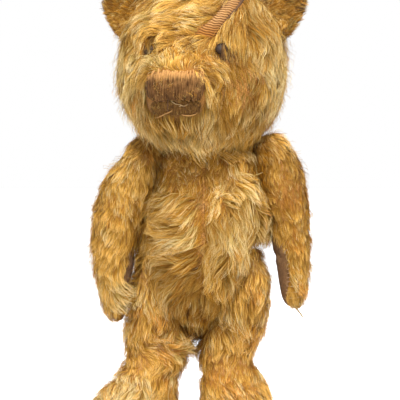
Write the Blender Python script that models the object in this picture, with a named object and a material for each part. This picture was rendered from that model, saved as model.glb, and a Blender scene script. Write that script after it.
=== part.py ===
"""A worn, disc-jointed mohair teddy bear, standing on card-stiffened feet.

Metres, +Z up. The bear faces -Y and its own left side is +X. The origin lies on the
floor, under the middle of the bear's box. The sizes below are in millimetres, and are
measured from the bear's own middle, which FLOOR_MIDDLE takes to that origin.
"""

import math

import bmesh
import bpy
import numpy as np
from mathutils import Matrix, Vector

MM = 0.001
FLOOR_MIDDLE = (0.3, -15.8, 0.0)   # middle of the box's base, from the body's own middle

CLOTH = 1.5          # mohair cloth with its backing
FELT = 1.4           # felt of the paw pads and foot pads
CARD = 1.6           # card insole in each foot
SEAM = 0.4           # gap between two panels that are sewn together
PACKING = 1.0        # gap between the cloth and the stuffing behind it
JOINT_GAP = 0.4      # from a joint's middle plane to either flat face
ROUNDNESS = 2.2      # superellipse power of every stuffed section

HEAD_TURN = -15.0    # degrees about +Z: the head looks to the bear's right
HEAD_SHIFT = 3.0     # the head sits a little to the bear's left
SHOULDER_TILT = 10.0  # the shoulder axis points outwards and up
HIP_TILT = 24.0      # the hip axis points outwards and down

# The shoulders and hips stand this far to either side of a middle of their own, because
# the body leans a little towards the bear's left.
NECK_POINT = (6.0, 0.0, 288.0)
SHOULDER_POINT = (50.0, 0.0, 262.0)
SHOULDER_MIDDLE = (7.5, 0.0, 0.0)
HIP_POINT = (34.0, 0.0, 152.0)
HIP_MIDDLE = (-4.0, 0.0, 0.0)
HIP_FLAT_TOP = 37.0   # the flat of the body against a leg ends this far above the hip
HIP_FLAT_FADE = 20.0  # and fades out over this height

DISC_RADIUS = {"neck": 18.0, "shoulder": 15.0, "hip": 19.0}
DISC_DEPTH = (3.2, 5.6)      # hardboard disc, measured from the joint's middle plane
DISC_PLAY = (0.6, 0.4)       # room in the stuffing at the disc's rim, and behind the disc
WASHER_DEPTH = (6.0, 7.0)
WASHER_RADIUS = 7.5
PIN_HOLE = 2.6
PIN_WIRE = 0.8
PIN_SPREAD = 1.02            # from the joint's axis to the middle of either leg of the pin
PIN_EYE = (2.6, 9.6, 0.42)   # the pin's eye: radius, middle, and half angle of its opening
PIN_TOP = 5.5                # the straight part of its legs starts this far up
PIN_BEND = [(1.02, -7.4), (1.6, -8.4), (3.4, -9.2), (5.4, -9.6)]  # its legs' bent ends
POCKET_RADIUS = 9.4          # room for the washer and the pin's bent ends
POCKET_DEPTH = 14.5

# Sections are (along, side, depth, half width, reach forward, reach back, turn).
# The body runs from its base up, and the arms and legs from the top down. The head runs
# from the nose to the nape, and its "depth" and "reach forward" point up.

BODY_SECTIONS = [
    (99, -4, 0, 0, 0, 0, 0), (100.5, -4, 0, 5, 8, 8, 0), (107, -4, 0, 13, 18, 17, 0),
    (116, -3.5, 0, 23, 27, 25, 0),
    (130, -2.5, 0, 36, 38, 35, 0), (145, -1, 0, 45, 49, 43, 0), (165, 2, 0, 54, 57, 48, 0),
    (185, 4.5, 0, 60, 61, 50, 0), (205, 6, 0, 62, 60, 50, 0), (225, 7, 0, 61, 57, 51, 0),
    (245, 7.5, 0, 58, 52, 53, 0), (262, 7.5, 0, 54, 46, 53, 0), (276, 7.5, 0, 52, 40, 48, 0),
    (286, 7.5, 0, 43, 34, 41, 0), (291, 7.5, 0, 27, 23, 28, 0), (293, 7.5, 0, 0, 0, 0, 0),
]

HEAD_SECTIONS = [
    (109, 0, 345, 0, 0, 0, 0), (107, 0, 345, 19, 13, 14, 0), (101, 0, 345, 30, 21, 24, 0),
    (91, 0, 344, 36, 28, 33, 0), (79, 0, 346, 42, 34, 41, 0), (67, 0, 351, 53, 45, 49, 0),
    (53, 0, 358, 66, 64, 59, 0), (34, 0, 365, 75, 78, 71, 0), (12, 0, 371, 79, 85, 87, 0),
    (-16, 0, 371, 79, 85, 87, 0), (-42, 0, 370, 70, 77, 80, 0), (-61, 0, 369, 54, 60, 62, 0),
    (-73, 0, 368, 33, 36, 38, 0), (-78, 0, 368, 0, 0, 0, 0),
]

# Arms are written in the shoulder's own frame, z from the shoulder's middle.
ARM_SECTIONS_RIGHT = [
    (34, 14.5, 0, 0, 0, 0, 0), (31.5, 14.5, 0, 9, 13, 13, 0), (23.5, 16, 0, 15.5, 23, 23, 0),
    (10, 18, 0, 19.5, 32, 32, 0), (-8, 21, 0, 24, 34, 34, 0), (-25, 24, 1, 25.5, 33, 33, -4),
    (-50, 28.5, 3, 23.5, 30, 30, -10), (-75, 29, 4, 20, 27, 26, -16), (-97, 27, 5, 16, 24, 22, -18),
    (-118, 24.3, 6, 13, 21, 18, -18), (-135, 20.3, 6, 10.2, 17, 14, -18), (-148, 17, 6, 6.5, 9.5, 9, -18),
    (-152, 16, 6, 0, 0, 0, -18),
]

ARM_SECTIONS_LEFT = [
    (36, 16, 0, 0, 0, 0, 0), (33.5, 16, 0, 9, 15, 15, 0), (25, 16, 0, 17, 25, 25, 0),
    (10, 17.5, 0, 21, 32, 32, 0), (-8, 19, 0, 22.5, 33, 33, 0), (-28, 20.5, 2, 21, 31, 30, 0),
    (-50, 22, 4, 18.5, 28, 26, -3), (-72, 21, 6, 17, 25, 23, -6), (-92, 19.5, 8, 14.5, 23, 21, -10),
    (-110, 17, 9, 12.5, 20, 19, -12), (-124, 15, 10, 10.5, 17, 16, -12),
    (-133, 13.5, 10, 6.5, 9, 9, -12), (-136, 13, 10, 0, 0, 0, -12),
]

# Legs are written in the world frame; the foot is the part that reaches forward.
LEG_SECTIONS_LEFT = [
    (187, 53.5, 0, 0, 0, 0, 0), (184.5, 53.5, 0, 6, 9, 9, 0), (175, 51.5, 0, 11, 21, 21, 0),
    (160, 48.5, 0, 18, 30, 30, 0), (147, 46, 0, 21.5, 33, 33, 0), (133, 42.5, 0, 24.5, 34, 34, 0),
    (118, 37, 0, 27, 33, 33, 0), (104, 31.5, 0, 29.5, 31, 31, 0), (90, 28, 0, 28, 28, 28, 0),
    (75, 27, 0, 26, 26, 25, 0), (60, 31, 0, 28, 31, 26, 0), (45, 35, 0, 31, 45, 28, 0),
    (30, 36, 0, 32.5, 57, 30, 0), (15, 36.5, 0, 33, 63, 30.5, 0), (5, 36.5, 0, 31.5, 61.5, 29, 0),
    (0, 36.5, 0, 29, 58.5, 27, 0),
]

LEG_SECTIONS_RIGHT = [
    (187, 55, 0, 0, 0, 0, 0), (184.5, 55, 0, 5, 9, 9, 0), (175, 53.5, 0, 9, 21, 21, 0),
    (160, 51, 0, 13.5, 30, 30, 0), (147, 48.5, 0, 17.5, 33, 32, 0), (133, 45.5, 0, 21.5, 34, 31, 0),
    (118, 41.5, 0, 27, 33, 29, 0), (104, 39.5, 0, 31.5, 31, 27, 4), (90, 40, 0, 32, 28, 26, 10),
    (75, 43.5, 0, 28, 30, 25, 20), (60, 48.5, 0, 26.5, 43, 25, 30), (45, 52, 0, 28.5, 59, 26, 38),
    (30, 54, 0, 31, 66, 27.5, 42), (15, 54, 0, 32, 68.5, 28.5, 42), (5, 54, 0, 30.5, 67, 27.5, 42),
    (0, 54, 0, 28, 64, 25.5, 42),
]

# Half width of the head's gusset, in radians, along the head's profile.
GUSSET = [(0.0, 0.18), (0.2, 0.42), (0.42, 0.62), (0.58, 0.74), (0.72, 0.55), (0.86, 0.42),
          (1.0, 0.4)]
WRIST = 0.56         # share of the arm's profile above the felt paw pad
EYE_SPOT = (36.5, 384.0)
EYE_RADIUS = 6.2
EYE_SOCKET = (11.0, 5.0)     # width and depth of the hollow that the eye sits in
EYE_PROUD = 4.6              # from the floor of the hollow to the widest part of the eye
EYE_DOME = 0.62              # height of the eye's dome, as a share of its radius
EYE_CAP = 1.35               # how far the dome's profile runs before its flat cap, radians
EYE_SHANK = (0.7, 9.0)       # radius and length of the shank behind the eye
EYE_HOLE = (1.3, 10.5)       # radius and depth of the hole for the shank
NOSE_REACH = (28.5, 14.0, 15.5)  # to the sides, up and down from the tip of the muzzle
NOSE_LIFT = 0.8              # the stitches stand this far off the cloth
NOSE_RIM = 1.1               # height of the nose's edge, and then how much it domes
NOSE_DOME = 1.5
MOUTH_REACH = 22.0           # half width of the mouth's arch, and its drop under the nose
MOUTH_DROP = 7.0
MOUTH_FALL = 22.0            # from the tip of the muzzle down to the arch's middle
MOUTH_ARCH = 1.3             # power of its curve
MOUTH_THREAD = 0.8           # radius of the mouth's thread, and its height off the cloth
MOUTH_LIFT = 1.3
EAR_ANGLE = 1.06     # from the top of the head towards its side, radians
EAR_PLACE = 0.53     # share of the head's profile, nose to nape
EAR_HALF_WIDTH = 25.0
EAR_HEIGHT = 37.0
EAR_THICKNESS = 7.0
EAR_BEND = 82.0      # radius of the head along the ear's seam
EAR_LIFT = 1.6       # the seam stands this far off the head
EAR_WAY = (0.79, 0.61)       # the way an ear points: sideways and up
EAR_CUP = 9.0        # depth of its hollow

BINDING_SPAN = (0.855, 0.93)  # shares of the paw's profile between which the thread winds
BINDING_TURNS = 2.5
BINDING_THREAD = 0.55        # radius of the thread, and its height off the cloth
BINDING_LIFT = 1.0
STALK_FALL = (10.0, -3.0, -9.0)   # from the stalk's root to its end, and how far it sags
STALK_SAG = (-1.5, 0.0, -1.5)
STALK_RADIUS = 0.8
INSOLE_GAP = 1.2     # between the insole's edge and the cloth round it
HOLE_REACH = 4.0     # of the hole for a split pin, each way from the joint's middle plane


class Form:
    """A stuffed shape: one smooth skin over sections set along an axis.

    v runs along the sections from 0 to 1, and a is the angle round a section, from the
    front (the top, on the head) towards +side. The skin is pressed flat against each
    joint's plane and pushed in at each dimple.
    """

    def __init__(self, sections, place, presses=(), dimples=()):
        self.rows = np.array(sections, float)
        girth = self.rows[:, 3:6].mean(axis=1)
        steps = np.hypot(np.diff(self.rows[:, 0]), np.diff(girth))
        self.knots = np.concatenate([[0.0], np.cumsum(steps)]) / steps.sum()
        self.slopes = monotone_slopes(self.knots, self.rows)
        self.place = place
        self.presses = presses
        self.dimples = dimples

    def section(self, v):
        """The section at v: a cubic between neighbours that never overshoots them."""
        v = np.clip(v, 0.0, 1.0)
        i = np.clip(np.searchsorted(self.knots, v, side="right") - 1, 0, len(self.knots) - 2)
        span = self.knots[i + 1] - self.knots[i]
        t = ((v - self.knots[i]) / span)[..., None]
        span = span[..., None]
        blend = t * t * (3 - 2 * t)
        start_pull = self.slopes[i] * span * t * (1 - t) ** 2
        end_pull = self.slopes[i + 1] * span * t * t * (1 - t)
        return self.rows[i] * (1 - blend) + self.rows[i + 1] * blend + start_pull - end_pull

    def flat(self, v, a):
        """Side, forward and along at (v, a), before the form is put in its place."""
        v, a = np.broadcast_arrays(np.asarray(v, float), np.asarray(a, float))
        along, side, depth, width, front, back, turn = np.moveaxis(self.section(v), -1, 0)
        power = 2.0 / ROUNDNESS
        sine, cosine = np.sin(a), np.cos(a)
        across = width * np.sign(sine) * np.abs(sine) ** power
        reach = np.where(cosine > 0, front, back) * np.sign(cosine) * np.abs(cosine) ** power
        turn = np.radians(turn)
        turned_across = across * np.cos(turn) + reach * np.sin(turn)
        turned_reach = reach * np.cos(turn) - across * np.sin(turn)
        return np.stack([side + turned_across, depth + turned_reach, along], axis=-1)

    def points(self, v, a):
        spots = self.place(self.flat(v, a))
        for centre, radius, depth, inward in self.dimples:
            away = np.sum((spots - centre) ** 2, axis=-1) / radius ** 2
            spots = spots + np.asarray(inward) * depth * np.exp(-away)[..., None]
        for point, normal, top in self.presses:
            here = spots - np.asarray(point)
            beyond = np.maximum(here @ np.asarray(normal) + JOINT_GAP, 0.0)
            fade = np.clip((top + HIP_FLAT_FADE - here[..., 2]) / HIP_FLAT_FADE, 0.0, 1.0)
            beyond = beyond * fade * fade * (3 - 2 * fade)
            spots = spots - beyond[..., None] * np.asarray(normal)
        return spots

    def tangents(self, v, a, step=0.002):
        v, a = np.broadcast_arrays(np.asarray(v, float), np.asarray(a, float))
        along = self.points(np.minimum(v + step, 1.0), a) - self.points(np.maximum(v - step, 0.0), a)
        around = self.points(v, a + step) - self.points(v, a - step)
        return along, around

    def normals(self, v, a):
        """Unit normals that point out of the form."""
        along, around = self.tangents(np.clip(v, 0.01, 0.99), a)
        normal = np.cross(along, around)
        normal /= np.linalg.norm(normal, axis=-1, keepdims=True) + 1e-9
        middle = self.place(self.section(np.asarray(v, float))[..., [1, 2, 0]])
        outwards = np.sum(normal * (self.points(v, a) - middle), axis=-1, keepdims=True)
        return np.where(outwards.sum() < 0, -normal, normal)

    def find(self, side, forward):
        """(v, a) of the spot with this side and forward reach, by Newton's method."""
        side, forward = np.broadcast_arrays(np.asarray(side, float), np.asarray(forward, float))
        tip = self.rows[0, 2]
        v = np.clip(np.hypot(side, forward - tip) / 200.0 + 0.02, 0.02, 0.5)
        a = np.arctan2(side, forward - tip)
        step = 1e-4
        for _ in range(60):
            here = self.flat(v, a)
            miss_x, miss_y = here[..., 0] - side, here[..., 1] - forward
            by_v = (self.flat(v + step, a) - here) / step
            by_a = (self.flat(v, a + step) - here) / step
            area = by_v[..., 0] * by_a[..., 1] - by_a[..., 0] * by_v[..., 1]
            area = np.where(np.abs(area) < 1e-3, 1e-3, area)
            move_v = (miss_x * by_a[..., 1] - by_a[..., 0] * miss_y) / area
            move_a = (by_v[..., 0] * miss_y - miss_x * by_v[..., 1]) / area
            v = np.clip(v - np.clip(move_v, -0.02, 0.02), 0.004, 0.6)
            a = a - np.clip(move_a, -0.1, 0.1)
        return v, a

    def share_at(self, along):
        """v where the profile passes this place on its axis."""
        v = np.linspace(0.0, 1.0, 2001)
        places = self.section(v)[:, 0]
        order = np.argsort(places)
        return float(np.interp(along, places[order], v[order]))


def monotone_slopes(knots, rows):
    """Slopes of a cubic through the rows that keeps each column free of overshoot."""
    gap = np.diff(knots)[:, None]
    rise = np.diff(rows, axis=0) / gap
    slopes = np.zeros_like(rows)
    slopes[0], slopes[-1] = rise[0], rise[-1]
    before, after = rise[:-1], rise[1:]
    same = before * after > 0
    weight_a, weight_b = 2 * gap[1:] + gap[:-1], gap[1:] + 2 * gap[:-1]
    safe_before, safe_after = np.where(same, before, 1.0), np.where(same, after, 1.0)
    mean = (weight_a + weight_b) / (weight_a / safe_before + weight_b / safe_after)
    slopes[1:-1] = np.where(same, mean, 0.0)
    return slopes


def sided(spot, side):
    """A place or direction written for the left side, taken to the side asked for."""
    return np.array([side * spot[0], spot[1], spot[2]], float)


def tilted(degrees):
    """Unit vector that points outwards and up by this angle, for the left side."""
    angle = math.radians(degrees)
    return (math.cos(angle), 0.0, math.sin(angle))


def make_joints():
    """The middle of each joint, and its axis, which points from the body to the limb."""
    joints = {"neck": (np.array(NECK_POINT), np.array([0.0, 0.0, 1.0]))}
    for side, sign in SIDES.items():
        shoulder_axis = sided(tilted(SHOULDER_TILT), sign)
        hip_axis = sided(tilted(-HIP_TILT), sign)
        shoulder = sided(SHOULDER_POINT, sign) + np.array(SHOULDER_MIDDLE)
        hip = sided(HIP_POINT, sign) + np.array(HIP_MIDDLE)
        joints["shoulder_" + side] = (shoulder, shoulder_axis)
        joints["hip_" + side] = (hip, hip_axis)
    return joints


SIDES = {"left": 1.0, "right": -1.0}
JOINTS = make_joints()
BODY_OF = {"neck": "head", "shoulder_left": "left_arm", "shoulder_right": "right_arm",
           "hip_left": "left_leg", "hip_right": "right_leg"}


def place_upright(spots):
    return np.stack([spots[..., 0], -spots[..., 1], spots[..., 2]], axis=-1)


def place_leg(side):
    def place(spots):
        return np.stack([side * spots[..., 0], -spots[..., 1], spots[..., 2]], axis=-1)
    return place


def place_arm(side):
    """From the shoulder's own frame, tilted out, to the world."""
    outwards = np.array(tilted(SHOULDER_TILT))
    upwards = np.array([-outwards[2], 0.0, outwards[0]])
    forwards = np.array([0.0, -1.0, 0.0])

    def place(spots):
        world = (np.array(SHOULDER_POINT) + spots[..., 0:1] * outwards
                 + spots[..., 1:2] * forwards + spots[..., 2:3] * upwards)
        return world * np.array([side, 1.0, 1.0]) + np.array(SHOULDER_MIDDLE)
    return place


def place_head(spots):
    """Side, up and forward, turned about the neck."""
    turn = math.radians(HEAD_TURN)
    side, up, forward = spots[..., 0], spots[..., 1], spots[..., 2]
    x = side * math.cos(turn) + forward * math.sin(turn) + HEAD_SHIFT
    y = side * math.sin(turn) - forward * math.cos(turn)
    return np.stack([x, y, up], axis=-1)


def eye_spots(bare_head):
    """For each eye: where it sits on the face, and the way it looks."""
    spots = {}
    for name, side in SIDES.items():
        v, a = bare_head.find(side * EYE_SPOT[0], EYE_SPOT[1])
        outwards = bare_head.normals(v, a)
        spots[name] = (bare_head.points(v, a), outwards)
    return spots


def make_forms():
    """Every stuffed form by name, with its flats at the joints, and the eyes' places."""
    away = {name: (point, -normal, math.inf) for name, (point, normal) in JOINTS.items()}
    flats = [(point, normal, HIP_FLAT_TOP if name.startswith("hip") else math.inf)
             for name, (point, normal) in JOINTS.items()]
    eyes = eye_spots(Form(HEAD_SECTIONS, place_head))
    width, depth = EYE_SOCKET
    sockets = [(spot, width, depth, -outwards) for spot, outwards in eyes.values()]
    forms = {
        "body": Form(BODY_SECTIONS, place_upright, flats),
        "head": Form(HEAD_SECTIONS, place_head, [away["neck"]], sockets),
        "left_arm": Form(ARM_SECTIONS_LEFT, place_arm(1), [away["shoulder_left"]]),
        "right_arm": Form(ARM_SECTIONS_RIGHT, place_arm(-1), [away["shoulder_right"]]),
        "left_leg": Form(LEG_SECTIONS_LEFT, place_leg(1), [away["hip_left"]]),
        "right_leg": Form(LEG_SECTIONS_RIGHT, place_leg(-1), [away["hip_right"]]),
    }
    return forms, eyes


def clear_scene():
    for item in list(bpy.data.objects):
        bpy.data.objects.remove(item, do_unlink=True)


def make_pivots():
    """One empty per body, at its joint; the body itself pivots about the floor origin."""
    pivots = {}
    places = {"body": FLOOR_MIDDLE}
    places.update({BODY_OF[name]: tuple(point) for name, (point, _) in JOINTS.items()})
    for name, place in places.items():
        empty = bpy.data.objects.new(name + "_pivot", None)
        empty.location = (Vector(place) - Vector(FLOOR_MIDDLE)) * MM
        bpy.context.collection.objects.link(empty)
        pivots[name] = empty
    return pivots


def finish(item, colour, roughness, metallic=0.0):
    material = bpy.data.materials.new(item.name)
    material.use_nodes = True
    shader = material.node_tree.nodes["Principled BSDF"]
    shader.inputs["Base Color"].default_value = (*colour, 1.0)
    shader.inputs["Roughness"].default_value = roughness
    shader.inputs["Metallic"].default_value = metallic
    item.data.materials.append(material)


LOOKS = {
    "mohair": ((0.62, 0.38, 0.15), 0.95), "felt": ((0.32, 0.19, 0.12), 0.95),
    "wool": ((0.62, 0.48, 0.28), 0.9), "board": ((0.28, 0.17, 0.09), 0.8),
    "card": ((0.45, 0.36, 0.25), 0.85), "steel": ((0.45, 0.44, 0.42), 0.4, 1.0),
    "thread": ((0.20, 0.11, 0.08), 0.8), "eye": ((0.015, 0.008, 0.006), 0.15),
    "pale thread": ((0.66, 0.52, 0.33), 0.85), "straw": ((0.40, 0.32, 0.15), 0.7),
}


def add_mesh(name, spots, faces, pivot, look):
    """A mesh node from points in millimetres, with its origin at its body's pivot."""
    mesh = bpy.data.meshes.new(name)
    base = np.array(pivot.location)
    spots = np.asarray(spots).reshape(-1, 3) - np.array(FLOOR_MIDDLE)
    mesh.from_pydata((spots * MM - base).tolist(), [], faces)
    mesh.validate()
    mesh.update()
    item = bpy.data.objects.new(name, mesh)
    bpy.context.collection.objects.link(item)
    item.parent = pivot
    finish(item, *LOOKS[look])
    return item


def face_outwards(item):
    """Gives a closed mesh faces that all point out, and smooth shading between its edges."""
    mesh = item.data
    shape = bmesh.new()
    shape.from_mesh(mesh)
    bmesh.ops.recalc_face_normals(shape, faces=shape.faces)
    shape.to_mesh(mesh)
    shape.free()
    mesh.shade_smooth()
    mesh.set_sharp_from_angle(angle=math.radians(50))


def grid_faces(rows, columns, start=0, closed=False, flip=False):
    """Quads over a grid of points whose last column may join the first."""
    faces = []
    for i in range(rows - 1):
        for j in range(columns if closed else columns - 1):
            k = (j + 1) % columns
            quad = (start + i * columns + j, start + i * columns + k,
                    start + (i + 1) * columns + k, start + (i + 1) * columns + j)
            faces.append(quad[::-1] if flip else quad)
    return faces


def halved(quads, guide, offset=0):
    """Each quad as two triangles, cut along its shorter diagonal on the guide points.

    Cloth and stuffing share one guide, so the facets of the two never cross.
    """
    halves = []
    for a, b, c, d in quads:
        one = np.linalg.norm(guide[a - offset] - guide[c - offset])
        two = np.linalg.norm(guide[b - offset] - guide[d - offset])
        halves += [(a, b, c), (a, c, d)] if one <= two else [(a, b, d), (b, c, d)]
    return halves


def rim_faces(rows, columns, offset):
    """Quads that join the edge of one grid to the edge of a second, offset grid."""
    last = (rows - 1) * columns
    edge = list(range(columns))
    edge += [i * columns + columns - 1 for i in range(1, rows)]
    edge += [last + j for j in range(columns - 2, -1, -1)]
    edge += [i * columns for i in range(rows - 2, -1, -1)]
    return [(b, a, a + offset, b + offset) for a, b in zip(edge, edge[1:])]


def cloth_points(form, v, a, seam_ends):
    """Grid of points on a form, drawn back from the seams at its edges."""
    spots = form.points(v, a)
    along, around = form.tangents(v, a)
    around = around / (np.linalg.norm(around, axis=-1, keepdims=True) + 1e-9)
    along = along / (np.linalg.norm(along, axis=-1, keepdims=True) + 1e-9)
    sign = np.sign(a[0, -1] - a[0, 0])
    spots[:, 0] += sign * around[:, 0] * SEAM / 2
    spots[:, -1] -= sign * around[:, -1] * SEAM / 2
    if seam_ends[0]:
        spots[0] += along[0] * SEAM / 2
    if seam_ends[1]:
        spots[-1] -= along[-1] * SEAM / 2
    return spots


def cloth_panel(name, form, pivot, stations, angles, look="mohair", thickness=CLOTH,
                seam_ends=(False, False)):
    """A sewn panel: part of a form's skin, as thick as its cloth.

    stations are the v of its rows, and angles the a of every point, a row at a time.
    """
    rows, columns = angles.shape
    v = np.broadcast_to(stations[:, None], angles.shape)
    outer = cloth_points(form, v, angles, seam_ends)
    inner = outer - form.normals(v, angles) * thickness
    guide = form.points(v, angles).reshape(-1, 3)
    count = rows * columns
    faces = (halved(grid_faces(rows, columns), guide)
             + halved(grid_faces(rows, columns, count, flip=True), guide, count)
             + rim_faces(rows, columns, count))
    spots = np.concatenate([outer.reshape(-1, 3), inner.reshape(-1, 3)])
    item = add_mesh(name, spots, faces, pivot, look)
    face_outwards(item)
    return item


def stuffing(name, form, pivot, stations, angles):
    """The firm stuffing behind a form's cloth, closed at both ends.

    It keeps the cloth's own stations and angles, so that their facets lie parallel.
    """
    rows, columns = angles.shape
    v = np.broadcast_to(stations[:, None], angles.shape)
    guide = form.points(v, angles)
    spots = guide - form.normals(v, angles) * (CLOTH + PACKING)
    top, bottom = spots[0].mean(axis=0), spots[-1].mean(axis=0)
    count = rows * columns
    faces = halved(grid_faces(rows, columns, closed=True), guide.reshape(-1, 3))
    faces += [(count, (j + 1) % columns, j) for j in range(columns)]
    last = (rows - 1) * columns
    faces += [(count + 1, last + j, last + (j + 1) % columns) for j in range(columns)]
    item = add_mesh(name, np.concatenate([spots.reshape(-1, 3), [top, bottom]]), faces, pivot, "wool")
    face_outwards(item)
    return item


def fan(first, last, columns):
    """Angles from first to last, a row for each pair of ends."""
    t = np.linspace(0.0, 1.0, columns)[None, :]
    return first[:, None] * (1 - t) + last[:, None] * t


def half_fans(stations, columns):
    """Angles of the two halves of a form that is seamed front and back: +side, then -side."""
    zero, half = np.zeros_like(stations), np.full_like(stations, math.pi)
    return fan(zero, half, columns), fan(2 * half, half, columns)


def joined_fans(*fans):
    """Angles right round a form, from fans that meet end to end."""
    return np.concatenate([part[:, :-1] for part in fans], axis=1)


def joint_matrix(point, normal):
    """World matrix, in metres, whose +Z runs along the joint's axis."""
    turn = Vector(normal).to_track_quat("Z", "Y").to_matrix().to_4x4()
    return Matrix.Translation(Vector(point) * MM) @ turn


def turned_mesh(name, profile, steps, matrix, pivot, look, ring):
    """A turned piece: (radius, height) points spun about the joint's axis."""
    turn = np.linspace(0.0, 2 * math.pi, steps, endpoint=False)
    spots = []
    for radius, height in profile:
        spots.append(np.stack([radius * np.cos(turn), radius * np.sin(turn),
                               np.full(steps, height)], axis=-1))
    spots = np.array(spots)
    faces = grid_faces(len(profile), steps, closed=True)
    last = (len(profile) - 1) * steps
    if ring:
        faces += [(last + j, last + (j + 1) % steps, (j + 1) % steps, j) for j in range(steps)]
    else:
        faces += [tuple(range(steps))[::-1], tuple(last + j for j in range(steps))]
    world = np.array(matrix.to_3x3()) @ spots.reshape(-1, 3).T
    world = world.T + np.array(matrix.translation) / MM
    item = add_mesh(name, world, faces, pivot, look)
    face_outwards(item)
    return item


def make_cutter(name, profile, steps, matrix, pivot):
    cutter = turned_mesh(name, profile, steps, matrix, pivot, "steel", ring=False)
    cutter.hide_render = True
    cutter.display_type = "WIRE"
    return cutter


def cut(item, cutter):
    boolean = item.modifiers.new("cut_" + cutter.name, "BOOLEAN")
    boolean.operation = "DIFFERENCE"
    boolean.solver = "EXACT"
    boolean.object = cutter


def wire_curve(name, spots, radius, pivot, look, sides=1):
    """A bent wire or thread: a bevelled curve with filled ends."""
    curve = bpy.data.curves.new(name, "CURVE")
    curve.dimensions = "3D"
    curve.bevel_depth = radius * MM
    curve.bevel_resolution = sides
    curve.use_fill_caps = True
    spline = curve.splines.new("POLY")
    spline.points.add(len(spots) - 1)
    for point, spot in zip(spline.points, spots):
        place = (Vector(spot) - Vector(FLOOR_MIDDLE)) * MM - pivot.location
        point.co = (*place, 1.0)
    item = bpy.data.objects.new(name, curve)
    bpy.context.collection.objects.link(item)
    item.parent = pivot
    finish(item, *LOOKS[look])
    return item


def make_head(forms, pivot):
    """Two side panels with a gusset between them, over the stuffing."""
    form = forms["head"]
    stations = np.linspace(0.02, 0.975, 17)
    edge = np.interp(stations, *np.array(GUSSET).T)
    chin = np.full_like(stations, math.pi)
    middle = fan(-edge, edge, 5)
    left, right = fan(edge, chin, 9), fan(-edge, -chin, 9)
    panels = {
        "gusset": cloth_panel("head_gusset", form, pivot, stations, middle),
        "left": cloth_panel("head_side_left", form, pivot, stations, left),
        "right": cloth_panel("head_side_right", form, pivot, stations, right),
    }
    around = joined_fans(middle, left, right[:, ::-1] + 2 * math.pi)
    filling = stuffing("head_stuffing", form, pivot, stations[1:-1], around[1:-1])
    return panels, filling


def make_body(forms, pivot):
    """Two halves, seamed down the front and the back, over the stuffing."""
    form = forms["body"]
    stations = np.linspace(0.03, 0.965, 14)
    left, right = half_fans(stations, 11)
    panels = {
        "left": cloth_panel("body_left_half", form, pivot, stations, left),
        "right": cloth_panel("body_right_half", form, pivot, stations, right),
    }
    around = joined_fans(left, right[:, ::-1])
    filling = stuffing("body_stuffing", form, pivot, stations[1:-1], around[1:-1])
    return panels, filling


def make_arm(forms, pivot, side):
    """Outer panel, inner panel, felt paw pad and stuffing of one arm."""
    form = forms[side + "_arm"]
    sleeve, paw = np.linspace(0.025, WRIST, 8), np.linspace(WRIST, 0.975, 5)
    stations = np.concatenate([sleeve, paw[1:]])
    outer, inner = half_fans(stations, 7)
    cloth_panel("arm_outer_" + side, form, pivot, stations, outer)
    panel = cloth_panel("arm_inner_" + side, form, pivot, sleeve, inner[:len(sleeve)],
                        seam_ends=(False, True))
    cloth_panel("paw_pad_" + side, form, pivot, paw, inner[len(sleeve) - 1:],
                "felt", FELT, seam_ends=(True, False))
    around = joined_fans(outer, inner[:, ::-1])
    return panel, stuffing("arm_stuffing_" + side, form, pivot, stations[1:-1], around[1:-1])


def sole_disc(name, form, pivot, low, high, inset, look):
    """A flat piece of the sole's outline, between two heights above the floor."""
    a = np.linspace(0.0, 2 * math.pi, 26, endpoint=False)
    edge = form.points(np.full_like(a, 1.0), a)
    centre = edge.mean(axis=0)
    reach = np.linalg.norm(edge - centre, axis=-1, keepdims=True)
    edge = centre + (edge - centre) * (reach - inset) / reach
    count = len(a)
    bottom, top = edge.copy(), edge.copy()
    bottom[:, 2], top[:, 2] = low, high
    faces = grid_faces(2, count, closed=True) + [tuple(range(count))[::-1],
                                                 tuple(range(count, 2 * count))]
    item = add_mesh(name, np.concatenate([bottom, top]), faces, pivot, look)
    face_outwards(item)
    return item


def make_leg(forms, pivot, side):
    """Outer and inner panel, felt foot pad, card insole and stuffing of one leg."""
    form = forms[side + "_leg"]
    card_low = FELT + SEAM
    card_top = card_low + CARD
    stations = np.linspace(0.02, form.share_at(card_low), 14)
    outer, inner = half_fans(stations, 8)
    cloth_panel("leg_outer_" + side, form, pivot, stations, outer)
    panel = cloth_panel("leg_inner_" + side, form, pivot, stations, inner)
    sole_disc("foot_pad_" + side, form, pivot, 0.0, FELT, 0.0, "felt")
    sole_disc("insole_" + side, form, pivot, card_low, card_top, CLOTH + INSOLE_GAP, "card")
    filled = stations.copy()
    filled[-1] = form.share_at(card_top + PACKING)
    around = joined_fans(outer, inner[:, ::-1])
    return panel, stuffing("leg_stuffing_" + side, form, pivot, filled[1:], around[1:])


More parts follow.
